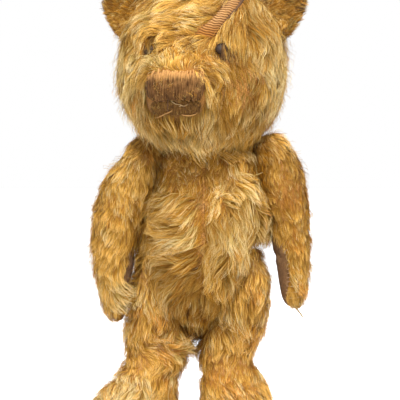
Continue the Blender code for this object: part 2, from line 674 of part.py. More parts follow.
def make_ear(forms, pivot, side):
    """A cupped half-round ear, sewn along a curve on the upper side of the head."""
    head = forms["head"]
    sign = SIDES[side]
    outwards = np.array([sign * EAR_WAY[0], EAR_WAY[1], 0.0])
    forwards = np.array([0.0, 0.0, 1.0])
    rings, steps = 6, 13
    rho = np.linspace(0.0, 1.0, rings)[1:, None]
    phi = np.linspace(0.0, math.pi, steps)[None, :]
    x = EAR_HALF_WIDTH * rho * np.cos(phi)
    y = EAR_HEIGHT * rho * np.sin(phi)
    cup = -EAR_CUP * (1 - (x / EAR_HALF_WIDTH) ** 2) * (y / EAR_HEIGHT) * (1.1 - rho ** 2)

    def root(across):
        """The spot on the head under a point this far along the ear's seam."""
        angle = sign * (EAR_ANGLE - across / EAR_BEND)
        return head.flat(np.full_like(angle, EAR_PLACE), angle) + outwards * EAR_LIFT

    def layer(lift):
        spots = root(x) + y[..., None] * outwards + (cup + lift)[..., None] * forwards
        middle = root(np.zeros(1)) + lift.min() * forwards
        return np.concatenate([spots.reshape(-1, 3), middle])

    half = EAR_THICKNESS / 2 * np.sqrt(1.02 - rho ** 2 * 0.75) * np.ones_like(x)
    front, back = layer(half), layer(-half)
    count = len(front)
    faces = grid_faces(rings - 1, steps) + grid_faces(rings - 1, steps, count, flip=True)
    centre = count - 1
    faces += [(centre, j + 1, j) for j in range(steps - 1)]
    faces += [(count + centre, count + j, count + j + 1) for j in range(steps - 1)]
    rim = [centre] + [i * steps for i in range(rings - 1)]
    rim += [(rings - 2) * steps + j for j in range(1, steps)]
    rim += [i * steps + steps - 1 for i in range(rings - 3, -1, -1)] + [centre]
    faces += [(b, a, a + count, b + count) for a, b in zip(rim, rim[1:])]
    spots = place_head(np.concatenate([front, back]))
    item = add_mesh("ear_" + side, spots, faces, pivot, "mohair")
    face_outwards(item)
    return item


def make_eye(name, pivot, matrix):
    """A domed eye on a wire shank that runs back through the cloth."""
    r = EYE_RADIUS
    height = EYE_DOME * r
    dome = [(r * math.cos(t), height * math.sin(t)) for t in np.linspace(0.0, EYE_CAP, 5)]
    shank, length = EYE_SHANK
    profile = [(shank, -length), (shank, -1.2), (r * 0.75, -1.0)] + dome
    turned_mesh(name, profile, 14, matrix, pivot, "eye", ring=False)


def make_nose(forms, pivot):
    """A raised pad of satin stitches over the tip of the muzzle."""
    head = forms["head"]
    side, up, down = NOSE_REACH
    rings, steps = 5, 22
    phi = np.linspace(0.0, 2 * math.pi, steps, endpoint=False)[None, :]
    s = np.linspace(0.0, 1.0, rings)[1:, None]
    tall = np.where(np.sin(phi) > 0, up, down)
    x = side * s * np.sign(np.cos(phi)) * np.abs(np.cos(phi)) ** 0.8
    z = head.rows[0, 2] + tall * s * np.sign(np.sin(phi)) * np.abs(np.sin(phi)) ** 0.8
    v, a = head.find(x, z)
    skin, outwards = head.points(v, a), head.normals(v, a)
    height = NOSE_RIM + NOSE_DOME * np.sqrt(1 - s ** 2 * 0.98)
    inner, outer = skin + outwards * NOSE_LIFT, skin + outwards * height[..., None]
    tip = head.points(np.array(0.0), np.array(0.0))
    forward = place_head(np.array([0.0, 0.0, 1.0])) - place_head(np.zeros(3))
    count = inner.shape[0] * steps + 1
    spots = np.concatenate([outer.reshape(-1, 3), [tip + forward * (NOSE_RIM + NOSE_DOME)],
                            inner.reshape(-1, 3), [tip + forward * NOSE_LIFT]])
    faces = grid_faces(rings - 1, steps, closed=True) + grid_faces(rings - 1, steps, count, True, True)
    centre = count - 1
    faces += [(centre, (j + 1) % steps, j) for j in range(steps)]
    faces += [(count + centre, count + j, count + (j + 1) % steps) for j in range(steps)]
    last = (rings - 2) * steps
    for j in range(steps):
        k = (j + 1) % steps
        faces.append((last + j, last + k, count + last + k, count + last + j))
    item = add_mesh("nose", spots, faces, pivot, "thread")
    face_outwards(item)


def make_mouth(forms, pivot):
    """One heavy thread laid as a shallow arch under the nose."""
    head = forms["head"]
    t = np.linspace(-1.0, 1.0, 11)
    x = MOUTH_REACH * t
    z = head.rows[0, 2] - MOUTH_FALL - MOUTH_DROP * np.abs(t) ** MOUTH_ARCH
    v, a = head.find(x, z)
    spots = head.points(v, a) + head.normals(v, a) * MOUTH_LIFT
    wire_curve("mouth_stitches", spots, MOUTH_THREAD, pivot, "thread")


def make_joint(name, point, normal, pivots):
    """Two discs, two washers and a split pin, and the pocket that they need."""
    matrix = joint_matrix(point, normal)
    limb, body = pivots[BODY_OF[name]], pivots["body"]
    radius = DISC_RADIUS[name.split("_")[0]]
    for place, sign, pivot in (("outer", 1, limb), ("inner", -1, body)):
        for kind, reach, (near, far), look, steps in (
                ("disc", radius, DISC_DEPTH, "board", 18),
                ("washer", WASHER_RADIUS, WASHER_DEPTH, "steel", 12)):
            low, high = sign * near, sign * far
            profile = [(PIN_HOLE, low), (reach, low), (reach, high), (PIN_HOLE, high)]
            turned_mesh(f"{name}_{place}_{kind}", profile, steps, matrix, pivot, look, ring=True)
    ring, middle, opening = PIN_EYE
    turn = np.linspace(opening, 2 * math.pi - opening, 9)
    eye = [(ring * math.sin(t), middle - ring * math.cos(t)) for t in turn]
    leg = [(PIN_SPREAD, PIN_TOP), (PIN_SPREAD, 0.0)] + PIN_BEND
    path = [(-x, z) for x, z in leg[::-1]] + [(-x, z) for x, z in eye] + leg
    spots = [np.array(matrix.to_3x3() @ Vector((x, 0.0, z))) + point for x, z in path]
    wire_curve(name + "_pin", spots, PIN_WIRE, body, "steel")
    disc_floor = DISC_DEPTH[1] + DISC_PLAY[1]
    pocket = [(radius + DISC_PLAY[0], disc_floor), (POCKET_RADIUS, disc_floor), (POCKET_RADIUS, POCKET_DEPTH)]
    profile = [(r, -z) for r, z in pocket[::-1]] + pocket
    return make_cutter(name + "_pocket", profile, 20, matrix, body)


def make_hole(name, matrix, radius, reach, pivot):
    return make_cutter(name, [(radius, -reach), (radius, reach)], 10, matrix, pivot)


def make_binding(forms, pivot):
    """Thread wound round the worn tip of the left paw, and a stalk of stuffing."""
    form = forms["left_arm"]
    v = np.linspace(*BINDING_SPAN, 30)
    a = np.linspace(0.0, 2 * math.pi * BINDING_TURNS, 30)
    spots = form.points(v, a) + form.normals(v, a) * BINDING_LIFT
    wire_curve("paw_binding", spots, BINDING_THREAD, pivot, "pale thread")
    tip = form.points(np.array(1.0), np.array(0.0)) + np.array([0.0, 0.0, -1.2])
    s = np.linspace(0.0, 1.0, 6)[:, None]
    stalk = tip + s * np.array(STALK_FALL) + s ** 2 * np.array(STALK_SAG)
    wire_curve("straw_stalk", stalk, STALK_RADIUS, pivot, "straw")


def build():
    clear_scene()
    forms, eyes = make_forms()
    pivots = make_pivots()
    head_panels, head_filling = make_head(forms, pivots["head"])
    body_panels, body_filling = make_body(forms, pivots["body"])
    inner_panels, fillings = {}, {"neck": head_filling}
    for side in SIDES:
        arm, leg = pivots[side + "_arm"], pivots[side + "_leg"]
        inner_panels["shoulder_" + side], fillings["shoulder_" + side] = make_arm(forms, arm, side)
        inner_panels["hip_" + side], fillings["hip_" + side] = make_leg(forms, leg, side)
        make_ear(forms, pivots["head"], side)
    for name, (point, normal) in JOINTS.items():
        pocket = make_joint(name, point, normal, pivots)
        cut(fillings[name], pocket)
        cut(body_filling, pocket)
        matrix = joint_matrix(point, normal)
        hole = make_hole(name + "_hole", matrix, PIN_HOLE, HOLE_REACH, pivots["body"])
        if name == "neck":
            for panel in (head_panels["left"], head_panels["right"], *body_panels.values()):
                cut(panel, hole)
        else:
            cut(inner_panels[name], hole)
            cut(body_panels[name.split("_")[1]], hole)
    for side, (spot, outwards) in eyes.items():
        matrix = joint_matrix(spot - outwards * (EYE_SOCKET[1] - EYE_PROUD), outwards)
        make_eye("eye_" + side, pivots["head"], matrix)
        shank = make_hole("eye_hole_" + side, matrix, *EYE_HOLE, pivots["head"])
        cut(head_panels[side], shank)
        cut(head_filling, shank)
    make_nose(forms, pivots["head"])
    make_mouth(forms, pivots["head"])
    make_binding(forms, pivots["left_arm"])


build()
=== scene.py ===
# The threadbare bear: its cloth, pile, stitches and pads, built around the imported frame.
import math
import bpy
import numpy as np
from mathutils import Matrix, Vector


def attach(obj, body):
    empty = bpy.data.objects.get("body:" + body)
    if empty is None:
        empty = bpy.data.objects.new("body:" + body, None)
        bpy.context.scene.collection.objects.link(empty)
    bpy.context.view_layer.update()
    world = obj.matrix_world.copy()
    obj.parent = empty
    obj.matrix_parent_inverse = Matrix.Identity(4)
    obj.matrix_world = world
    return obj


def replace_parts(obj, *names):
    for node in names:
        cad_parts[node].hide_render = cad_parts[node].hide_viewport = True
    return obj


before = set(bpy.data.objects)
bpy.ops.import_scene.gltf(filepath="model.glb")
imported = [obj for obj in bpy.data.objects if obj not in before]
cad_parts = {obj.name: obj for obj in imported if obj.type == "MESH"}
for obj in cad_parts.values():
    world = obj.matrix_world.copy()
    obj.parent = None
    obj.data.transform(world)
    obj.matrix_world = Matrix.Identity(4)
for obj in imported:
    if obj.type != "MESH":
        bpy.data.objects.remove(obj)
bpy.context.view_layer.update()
print("frame loaded")

# Sizes are millimetres from the bear's own middle; floorMiddle takes them to the floor origin.
mm = 0.001
floorMiddle = np.array([0.3, -15.8, 0.0])
full = 2 * math.pi
jointGap = 0.5        # cloth is pressed flat this far from each joint's middle plane
roundness = 2.2       # superellipse power of every stuffed section
hipFlat = (37.0, 20.0)     # where the body's flat against a leg ends above the hip, and over what height
skinEnds = (0.004, 0.996)  # where each skin starts and stops along its form
headTurn = math.radians(-15)
headShift = 3.0
neckPoint = np.array([6.0, 0.0, 288.0])
shoulder = {"at": np.array([50.0, 0.0, 262.0]), "tilt": 10, "middle": np.array([7.5, 0.0, 0.0])}
hip = {"at": np.array([34.0, 0.0, 152.0]), "tilt": -24, "middle": np.array([-4.0, 0.0, 0.0])}
eye = {"side": 36.5, "height": 384.0, "hollow": (11.0, 5.0)}     # the hollow's radius and depth

# the stuffed forms


def monotoneSlopes(knots, rows):
    # slopes of a cubic through the rows: the weighted harmonic mean of the rises on either side
    gap = np.diff(knots)[:, None]
    rise = np.diff(rows, axis=0) / gap
    slopes = np.zeros_like(rows)
    slopes[0], slopes[-1] = rise[0], rise[-1]
    before, after = rise[:-1], rise[1:]
    same = before * after > 0
    weightA, weightB = 2 * gap[1:] + gap[:-1], gap[1:] + 2 * gap[:-1]
    safeBefore, safeAfter = np.where(same, before, 1.0), np.where(same, after, 1.0)
    mean = (weightA + weightB) / (weightA / safeBefore + weightB / safeAfter)
    slopes[1:-1] = np.where(same, mean, 0.0)
    return slopes


def makeForm(sections, place, presses=(), dimples=(), inset=0.0):
    rows = np.array(sections, float)
    steps = np.hypot(np.diff(rows[:, 0]), np.diff(rows[:, 3:6].mean(axis=1)))
    knots = np.concatenate([[0.0], np.cumsum(steps)]) / steps.sum()
    return {"rows": rows, "knots": knots, "slopes": monotoneSlopes(knots, rows), "place": place,
            "presses": presses, "dimples": dimples, "inset": inset, "swell": None}


def sectionAt(form, v):
    # cubic between neighbouring sections, v from 0 to 1 along the form
    knots, rows, slopes = form["knots"], form["rows"], form["slopes"]
    v = np.clip(v, 0.0, 1.0)
    i = np.clip(np.searchsorted(knots, v, side="right") - 1, 0, len(knots) - 2)
    span = knots[i + 1] - knots[i]
    t = ((v - knots[i]) / span)[..., None]
    span = span[..., None]
    mix = t * t * (3 - 2 * t)
    pull = slopes[i] * span * t * (1 - t) ** 2 - slopes[i + 1] * span * t * t * (1 - t)
    return rows[i] * (1 - mix) + rows[i + 1] * mix + pull


def swellAt(form, v, a):
    # how far the cloth swelled at (v, a), read between the points of its coarse grid
    swell = form["swell"]
    rows, columns = swell.shape[:2]
    down = np.clip((v - skinEnds[0]) / (skinEnds[1] - skinEnds[0]), 0, 1) * (rows - 1)
    i = np.minimum(down.astype(int), rows - 2)
    s = (down - i)[..., None]
    across = np.mod(a / full, 1.0) * columns
    j = across.astype(int) % columns
    t = (across - np.floor(across))[..., None]
    k = (j + 1) % columns
    return ((swell[i, j] * (1 - t) + swell[i, k] * t) * (1 - s)
            + (swell[i + 1, j] * (1 - t) + swell[i + 1, k] * t) * s)


def formPoints(form, v, a):
    # superellipse of each section: across = width sin(a)^(2/n), reach = front or back cos(a)^(2/n),
    # turned, placed, dimpled at the eyes, swelled, and pressed flat at the joints
    v, a = np.broadcast_arrays(np.asarray(v, float), np.asarray(a, float))
    along, side, depth, width, front, back, turn = np.moveaxis(sectionAt(form, v), -1, 0)
    width, front, back = (np.maximum(part - form["inset"], part * 0.2) for part in (width, front, back))
    power = 2.0 / roundness
    sine, cosine = np.sin(a), np.cos(a)
    across = width * np.sign(sine) * np.abs(sine) ** power
    reach = np.where(cosine > 0, front, back) * np.sign(cosine) * np.abs(cosine) ** power
    turn = np.radians(turn)
    flat = np.stack([side + across * np.cos(turn) + reach * np.sin(turn),
                     depth + reach * np.cos(turn) - across * np.sin(turn), along], axis=-1)
    spots = form["place"](flat)
    for centre, radius, deep, inward in form["dimples"]:
        apart = np.sum((spots - centre) ** 2, axis=-1) / radius ** 2
        spots = spots + np.asarray(inward) * deep * np.exp(-apart)[..., None]
    if form["swell"] is not None:
        spots = spots + swellAt(form, v, a)
    for point, normal, top in form["presses"]:
        beyond = np.maximum((spots - point) @ normal + jointGap, 0.0)
        fade = np.clip((top + hipFlat[1] - (spots - point)[..., 2]) / hipFlat[1], 0.0, 1.0)
        spots = spots - (beyond * fade * fade * (3 - 2 * fade))[..., None] * normal
    return spots


def unit(vectors):
    return vectors / (np.linalg.norm(vectors, axis=-1, keepdims=True) + 1e-9)


def makeSheet(points, wrap, middle):
    # a grid of points with unit normals: the cross product of its two directions, turned off the middle
    around = np.roll(points, -1, 1) - np.roll(points, 1, 1) if wrap else np.gradient(points, axis=1)
    normals = unit(np.cross(np.gradient(points, axis=0), around))
    if np.sum(normals * (points - middle)) < 0:
        normals = -normals
    return {"points": points, "normals": normals, "wrap": wrap}


def formSheet(form, rows, columns):
    v = np.linspace(*skinEnds, rows)[:, None]
    a = np.linspace(0, full, columns, endpoint=False)[None, :]
    points = formPoints(form, v, a)
    return makeSheet(points, True, points.mean(axis=1, keepdims=True))


def placeUpright(side):
    def place(spots):
        return np.stack([side * spots[..., 0], -spots[..., 1], spots[..., 2]], axis=-1)
    return place


def tilted(degrees, side):
    # unit vector outwards and up by this angle
    angle = math.radians(degrees)
    return np.array([side * math.cos(angle), 0.0, math.sin(angle)])


def placeArm(side):
    # shoulder's own frame, tilted out, to the world
    outwards = tilted(shoulder["tilt"], 1)
    upwards = np.array([-outwards[2], 0.0, outwards[0]])

    def place(spots):
        world = (shoulder["at"] + spots[..., 0:1] * outwards
                 + spots[..., 1:2] * np.array([0.0, -1.0, 0.0]) + spots[..., 2:3] * upwards)
        return world * np.array([side, 1.0, 1.0]) + shoulder["middle"]
    return place


def placeHead(spots):
    # side, up and forward, turned about the neck
    side, up, forward = spots[..., 0], spots[..., 1], spots[..., 2]
    return np.stack([side * math.cos(headTurn) + forward * math.sin(headTurn) + headShift,
                     side * math.sin(headTurn) - forward * math.cos(headTurn), up], axis=-1)


# sections: along, side, depth, half width, reach forward, reach back, turn
bodySections = [
    (99, -4, 0, 0, 0, 0, 0), (100.5, -4, 0, 5, 8, 8, 0), (107, -4, 0, 13, 18, 17, 0),
    (116, -3.5, 0, 23, 27, 25, 0),
    (130, -2.5, 0, 36, 38, 35, 0), (145, -1, 0, 45, 49, 43, 0), (165, 2, 0, 54, 57, 48, 0),
    (185, 4.5, 0, 60, 61, 50, 0), (205, 6, 0, 62, 60, 50, 0), (225, 7, 0, 61, 57, 51, 0),
    (245, 7.5, 0, 58, 52, 53, 0), (262, 7.5, 0, 54, 46, 53, 0), (276, 7.5, 0, 52, 40, 48, 0),
    (286, 7.5, 0, 43, 34, 41, 0), (291, 7.5, 0, 27, 23, 28, 0), (293, 7.5, 0, 0, 0, 0, 0)]
headSections = [
    (109, 0, 345, 0, 0, 0, 0), (107, 0, 345, 19, 13, 14, 0), (101, 0, 345, 30, 21, 24, 0),
    (91, 0, 344, 36, 28, 33, 0), (79, 0, 346, 42, 34, 41, 0), (67, 0, 351, 53, 45, 49, 0),
    (53, 0, 358, 66, 64, 59, 0), (34, 0, 365, 75, 78, 71, 0), (12, 0, 371, 79, 85, 87, 0),
    (-16, 0, 371, 79, 85, 87, 0), (-42, 0, 370, 70, 77, 80, 0), (-61, 0, 369, 54, 60, 62, 0),
    (-73, 0, 368, 33, 36, 38, 0), (-78, 0, 368, 0, 0, 0, 0)]
rightArmSections = [
    (34, 14.5, 0, 0, 0, 0, 0), (31.5, 14.5, 0, 9, 13, 13, 0), (23.5, 16, 0, 15.5, 23, 23, 0),
    (10, 18, 0, 19.5, 32, 32, 0), (-8, 21, 0, 24, 34, 34, 0), (-25, 24, 1, 25.5, 33, 33, -4),
    (-50, 28.5, 3, 23.5, 30, 30, -10), (-75, 29, 4, 20, 27, 26, -16), (-97, 27, 5, 16, 24, 22, -18),
    (-118, 24.3, 6, 13, 21, 18, -18), (-135, 20.3, 6, 10.2, 17, 14, -18), (-148, 17, 6, 6.5, 9.5, 9, -18),
    (-152, 16, 6, 0, 0, 0, -18)]
leftArmSections = [
    (36, 16, 0, 0, 0, 0, 0), (33.5, 16, 0, 9, 15, 15, 0), (25, 16, 0, 17, 25, 25, 0),
    (10, 17.5, 0, 21, 32, 32, 0), (-8, 19, 0, 22.5, 33, 33, 0), (-28, 20.5, 2, 21, 31, 30, 0),
    (-50, 22, 4, 18.5, 28, 26, -3), (-72, 21, 6, 17, 25, 23, -6), (-92, 19.5, 8, 14.5, 23, 21, -10),
    (-110, 17, 9, 12.5, 20, 19, -12), (-124, 15, 10, 10.5, 17, 16, -12),
    (-133, 13.5, 10, 6.5, 9, 9, -12), (-136, 13, 10, 0, 0, 0, -12)]
leftLegSections = [
    (187, 53.5, 0, 0, 0, 0, 0), (184.5, 53.5, 0, 6, 9, 9, 0), (175, 51.5, 0, 11, 21, 21, 0),
    (160, 48.5, 0, 18, 30, 30, 0), (147, 46, 0, 21.5, 33, 33, 0), (133, 42.5, 0, 24.5, 34, 34, 0),
    (118, 37, 0, 27, 33, 33, 0), (104, 31.5, 0, 29.5, 31, 31, 0), (90, 28, 0, 28, 28, 28, 0),
    (75, 27, 0, 26, 26, 25, 0), (60, 31, 0, 28, 31, 26, 0), (45, 35, 0, 31, 45, 28, 0),
    (30, 36, 0, 32.5, 57, 30, 0), (15, 36.5, 0, 33, 63, 30.5, 0), (5, 36.5, 0, 31.5, 61.5, 29, 0),
    (0, 36.5, 0, 29, 58.5, 27, 0)]
rightLegSections = [
    (187, 55, 0, 0, 0, 0, 0), (184.5, 55, 0, 5, 9, 9, 0), (175, 53.5, 0, 9, 21, 21, 0),
    (160, 51, 0, 13.5, 30, 30, 0), (147, 48.5, 0, 17.5, 33, 32, 0), (133, 45.5, 0, 21.5, 34, 31, 0),
    (118, 41.5, 0, 27, 33, 29, 0), (104, 39.5, 0, 31.5, 31, 27, 4), (90, 40, 0, 32, 28, 26, 10),
    (75, 43.5, 0, 28, 30, 25, 20), (60, 48.5, 0, 26.5, 43, 25, 30), (45, 52, 0, 28.5, 59, 26, 38),
    (30, 54, 0, 31, 66, 27.5, 42), (15, 54, 0, 32, 68.5, 28.5, 42), (5, 54, 0, 30.5, 67, 27.5, 42),
    (0, 54, 0, 28, 64, 25.5, 42)]


def jointPlanes(joint, top):
    # each side's joint plane, as a point, a unit normal out of the body, and how high the flat goes
    return {side: (joint["at"] * [side, 1, 1] + joint["middle"], tilted(joint["tilt"], side), top)
            for side in (1, -1)}


neck = (neckPoint, np.array([0.0, 0.0, 1.0]), math.inf)
shoulders, hips = jointPlanes(shoulder, math.inf), jointPlanes(hip, hipFlat[0])


def away(joint):
    return (joint[0], -joint[1], math.inf)


def eyeHollows():
    # where each eye sits: the head's skin at this side and height, found on a fine grid
    bare = formSheet(makeForm(headSections, placeHead), 300, 400)
    turned = bare["points"] - np.array([headShift, 0, 0])
    across = turned[..., 0] * math.cos(headTurn) + turned[..., 1] * math.sin(headTurn)
    forward = turned[..., 0] * math.sin(headTurn) - turned[..., 1] * math.cos(headTurn)
    hollows = {}
    for name, side in (("left", 1), ("right", -1)):
        miss = np.hypot(across - side * eye["side"], turned[..., 2] - eye["height"]) + 1e3 * (forward < 0)
        i, j = np.unravel_index(np.argmin(miss), miss.shape)
        hollows[name] = (bare["points"][i, j], bare["normals"][i, j])
    return hollows


eyes = eyeHollows()
hollows = [(spot, *eye["hollow"], -outwards) for spot, outwards in eyes.values()]
forms = {
    "body": makeForm(bodySections, placeUpright(1), [neck, *shoulders.values(), *hips.values()], inset=1.0),
    "head": makeForm(headSections, placeHead, [away(neck)], hollows, inset=1.2),
    "left_arm": makeForm(leftArmSections, placeArm(1), [away(shoulders[1])]),
    "right_arm": makeForm(rightArmSections, placeArm(-1), [away(shoulders[-1])]),
    "left_leg": makeForm(leftLegSections, placeUpright(1), [away(hips[1])]),
    "right_leg": makeForm(rightLegSections, placeUpright(-1), [away(hips[-1])]),
}
print("forms worked out")

# meshes


def buildMesh(name, spots, corners, sizes, uv, facing=None):
    # spots are millimetres; corners is every face's corners in a row, sizes how many each face has
    mesh = bpy.data.meshes.new(name)
    mesh.vertices.add(len(spots))
    mesh.vertices.foreach_set("co", ((spots - floorMiddle) * mm).astype(np.float32).ravel())
    mesh.loops.add(len(corners))
    mesh.loops.foreach_set("vertex_index", corners.astype(np.int32))
    mesh.polygons.add(len(sizes))
    starts = np.concatenate([[0], np.cumsum(sizes)[:-1]])
    mesh.polygons.foreach_set("loop_start", starts.astype(np.int32))
    layer = mesh.uv_layers.new(name="OFBake")
    layer.data.foreach_set("uv", uv.astype(np.float32).ravel())
    mesh.update(calc_edges=True)
    mesh.validate()
    mesh.shade_smooth()
    if facing is not None:  # pile takes its light much as the skin under it does
        leaning = mesh.attributes.new("custom_normal", "FLOAT_VECTOR", "POINT")
        leaning.data.foreach_set("vector", facing.astype(np.float32).ravel())
    return mesh


def addObject(name, data):
    item = bpy.data.objects.new(name, data)
    bpy.context.collection.objects.link(item)
    return item


def addMesh(name, spots, corners, sizes, uv, material, body, facing=None):
    mesh = buildMesh(name, spots, corners, sizes, uv, facing)
    mesh.materials.append(material)
    item = addObject(name, mesh)
    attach(item, body)
    return item


def faceUv(*corners):
    # UVs of a row of faces, from the u and v of each of their corners
    return np.stack([np.stack(np.broadcast_arrays(u, v), -1) for u, v in corners], -2)


def turnFaces(spots, faces, uv, outwards):
    # the faces and their UVs, the other way round if together they face inwards
    a, b, c = (spots[faces[:, corner]] for corner in range(3))
    if np.sum(np.cross(b - a, c - a) * outwards) < 0:
        return faces[:, ::-1], uv[:, ::-1]
    return faces, uv


def gridFaces(rows, columns, wrap):
    # corners and corner UVs of the quads of a grid of points; a wrapped grid's last column joins its first
    across = columns if wrap else columns - 1
    i, j = np.meshgrid(np.arange(rows - 1), np.arange(across), indexing="ij")
    k = (j + 1) % columns
    corners = np.stack([i * columns + j, i * columns + k, (i + 1) * columns + k, (i + 1) * columns + j], -1)
    low, high, left, right = i / (rows - 1), (i + 1) / (rows - 1), j / across, (j + 1) / across
    uv = faceUv((left, low), (right, low), (right, high), (left, high))
    return corners.reshape(-1, 4), uv.reshape(-1, 4, 2)


capShare = 0.02       # the part of a map's height that each closing fan takes


def closedGrid(sheet):
    # a wrapped grid with a fan round a middle point at each end: spots, corners, face sizes and UVs
    points, normals = sheet["points"], sheet["normals"]
    rows, columns = points.shape[:2]
    spots = points.reshape(-1, 3)
    corners, uv = gridFaces(rows, columns, True)
    corners, uv = turnFaces(spots, corners, uv, normals.reshape(-1, 3)[corners[:, 0]])
    sizes = np.full(len(corners), 4)
    corners, uv = corners.ravel(), uv.reshape(-1, 2)
    uv[:, 1] = capShare + (1 - 2 * capShare) * uv[:, 1]
    spots = np.concatenate([spots, points[:1].mean(axis=1), points[-1:].mean(axis=1)])
    j = np.arange(columns)
    for end, row, tip in ((0, 0, 0.0), (1, rows - 1, 1.0)):
        fan = np.stack([row * columns + j, row * columns + (j + 1) % columns,
                        np.full(columns, rows * columns + end)], -1)
        edge = abs(tip - capShare)
        fanUv = faceUv((j / columns, edge), ((j + 1) / columns, edge), ((j + 0.5) / columns, tip))
        fan, fanUv = turnFaces(spots, fan, fanUv, normals[row].mean(axis=0))
        corners = np.concatenate([corners, fan.ravel()])
        uv = np.concatenate([uv, fanUv.reshape(-1, 2)])
        sizes = np.concatenate([sizes, np.full(columns, 3)])
    return spots, corners, sizes, uv


def addSheet(name, sheet, material, body):
    return addMesh(name, *closedGrid(sheet), material, body)


def addEnvelope(name, top, bottom, material, body):
    # two grids of points, one over the other, joined along their edges; 0.9 of the map is the top's
    rows, columns = top.shape[:2]
    spots = np.concatenate([top.reshape(-1, 3), bottom.reshape(-1, 3)])
    upper, upperUv = gridFaces(rows, columns, False)
    upper, upperUv = turnFaces(spots, upper, upperUv, (top - bottom).reshape(-1, 3)[upper[:, 0]])
    lower, lowerUv = upper[:, ::-1] + rows * columns, upperUv[:, ::-1] * [1, 0.03] + [0, 0.92]
    i, j = np.arange(rows), np.arange(columns)
    rim = np.concatenate([j[:-1], i[:-1] * columns + columns - 1,
                          (rows - 1) * columns + j[:0:-1], i[:0:-1] * columns])
    after = np.roll(rim, -1)
    strip = np.stack([rim, after, after + rows * columns, rim + rows * columns], -1)
    here = np.arange(len(rim)) / len(rim)
    there = here + 1 / len(rim)
    stripUv = faceUv((here, 0.96), (there, 0.96), (there, 0.99), (here, 0.99))
    strip, stripUv = turnFaces(spots, strip, stripUv, spots[strip[:, 0]] - spots.mean(axis=0))
    corners = np.concatenate([upper, lower, strip])
    uv = np.concatenate([upperUv * [1, 0.9], lowerUv, stripUv]).reshape(-1, 2)
    return addMesh(name, spots, corners.ravel(), np.full(len(corners), 4), uv, material, body)


thread = {"ply": 0.28, "end": 0.4, "cap": 0.04, "gap": 0.03}     # shares of its radius, and of its map


def addThreads(name, paths, radius, material, body, sides=6, twist=0.0):
    # a round profile carried along every path, with two plies that wind round each other where twist
    # isn't 0; paths is (threads, stations, 3), and each end is closed by a fan
    count, stations = paths.shape[:2]
    tangent = unit(np.gradient(paths, axis=1))
    across = unit(np.cross(tangent, np.array([0.31, 0.53, 0.79])))
    over = np.cross(tangent, across)
    turn = np.arange(sides) * full / sides
    along = np.cumsum(np.linalg.norm(np.diff(paths, axis=1, prepend=paths[:, :1]), axis=-1), axis=1)
    plies = thread["ply"] * np.cos(2 * (turn[None, None, :] - twist * along[..., None])) if twist else 0.0
    radii = np.broadcast_to(radius, (count,))[:, None, None]
    reach = radii * (1 + plies) * np.ones((count, stations, sides))
    ring = (paths[:, :, None] + reach[..., None] * (across[:, :, None] * np.cos(turn)[:, None]
                                                    + over[:, :, None] * np.sin(turn)[:, None]))
    beyond = tangent[:, [0, -1]] * np.array([-1.0, 1.0])[None, :, None] * thread["end"] * np.max(radius)
    spots = np.concatenate([ring.reshape(count, -1, 3), paths[:, [0, -1]] + beyond], axis=1)
    each = stations * sides + 2
    quads, _ = gridFaces(stations, sides, True)
    k = np.arange(sides)
    after = (k + 1) % sides
    first = np.stack([after, k, np.full(sides, each - 2)], -1)
    last = np.stack([k + each - 2 - sides, after + each - 2 - sides, np.full(sides, each - 1)], -1)
    pattern = np.concatenate([quads.ravel(), first.ravel(), last.ravel()])
    sizes = np.tile(np.concatenate([np.full(len(quads), 4), np.full(2 * sides, 3)]), count)
    corners = (np.arange(count)[:, None] * each + pattern[None, :]).ravel()
    i, j = quads // sides, quads % sides
    j = np.where((j == 0) & (np.arange(4)[None, :] % 3 != 0), sides, j)
    low, high = thread["cap"], 1 - thread["cap"]
    quadUv = np.stack([j / sides, low + (high - low) * i / (stations - 1)], -1)
    firstUv = faceUv(((k + 1) / sides, low), (k / sides, low), ((k + 0.5) / sides, 0.0))
    lastUv = faceUv((k / sides, high), ((k + 1) / sides, high), ((k + 0.5) / sides, 1.0))
    one = np.concatenate([part.reshape(-1, 2) for part in (quadUv, firstUv, lastUv)])
    place = (np.arange(count)[:, None] + thread["gap"] + (1 - 2 * thread["gap"]) * one[None, :, 0]) / count
    uv = np.stack([place, np.broadcast_to(one[None, :, 1], place.shape)], -1).reshape(-1, 2)
    spots = spots.reshape(-1, 3)
    a, b, c = spots[corners[:3]]
    if np.dot(np.cross(b - a, c - a), a - paths[0, 0]) < 0:
        stop = np.cumsum(sizes)
        order = np.repeat(stop - sizes + stop - 1, sizes) - np.arange(len(corners))
        corners, uv = corners[order], uv[order]
    return addMesh(name, spots, corners, sizes, uv, material, body)


# the cloth is stuffed: it swells between its seams


swell = {"rows": 56, "columns": 76, "steps": 20, "cap": 2.4, "held": 10,
         # widths over which the hold fades, from a seam, an end, a joint's plane and an eye
         "seam": 0.12, "end": 0.06, "plane": (5.0, 4.0), "eye": (20.0, 6.0),
         "settings": {"quality": 5, "mass": 0.3, "tension_stiffness": 18, "compression_stiffness": 18,
                      "shear_stiffness": 8, "bending_stiffness": 0.6, "use_pressure": True,
                      "uniform_pressure_force": 4.0, "shrink_min": -0.03, "vertex_group_mass": "held"}}


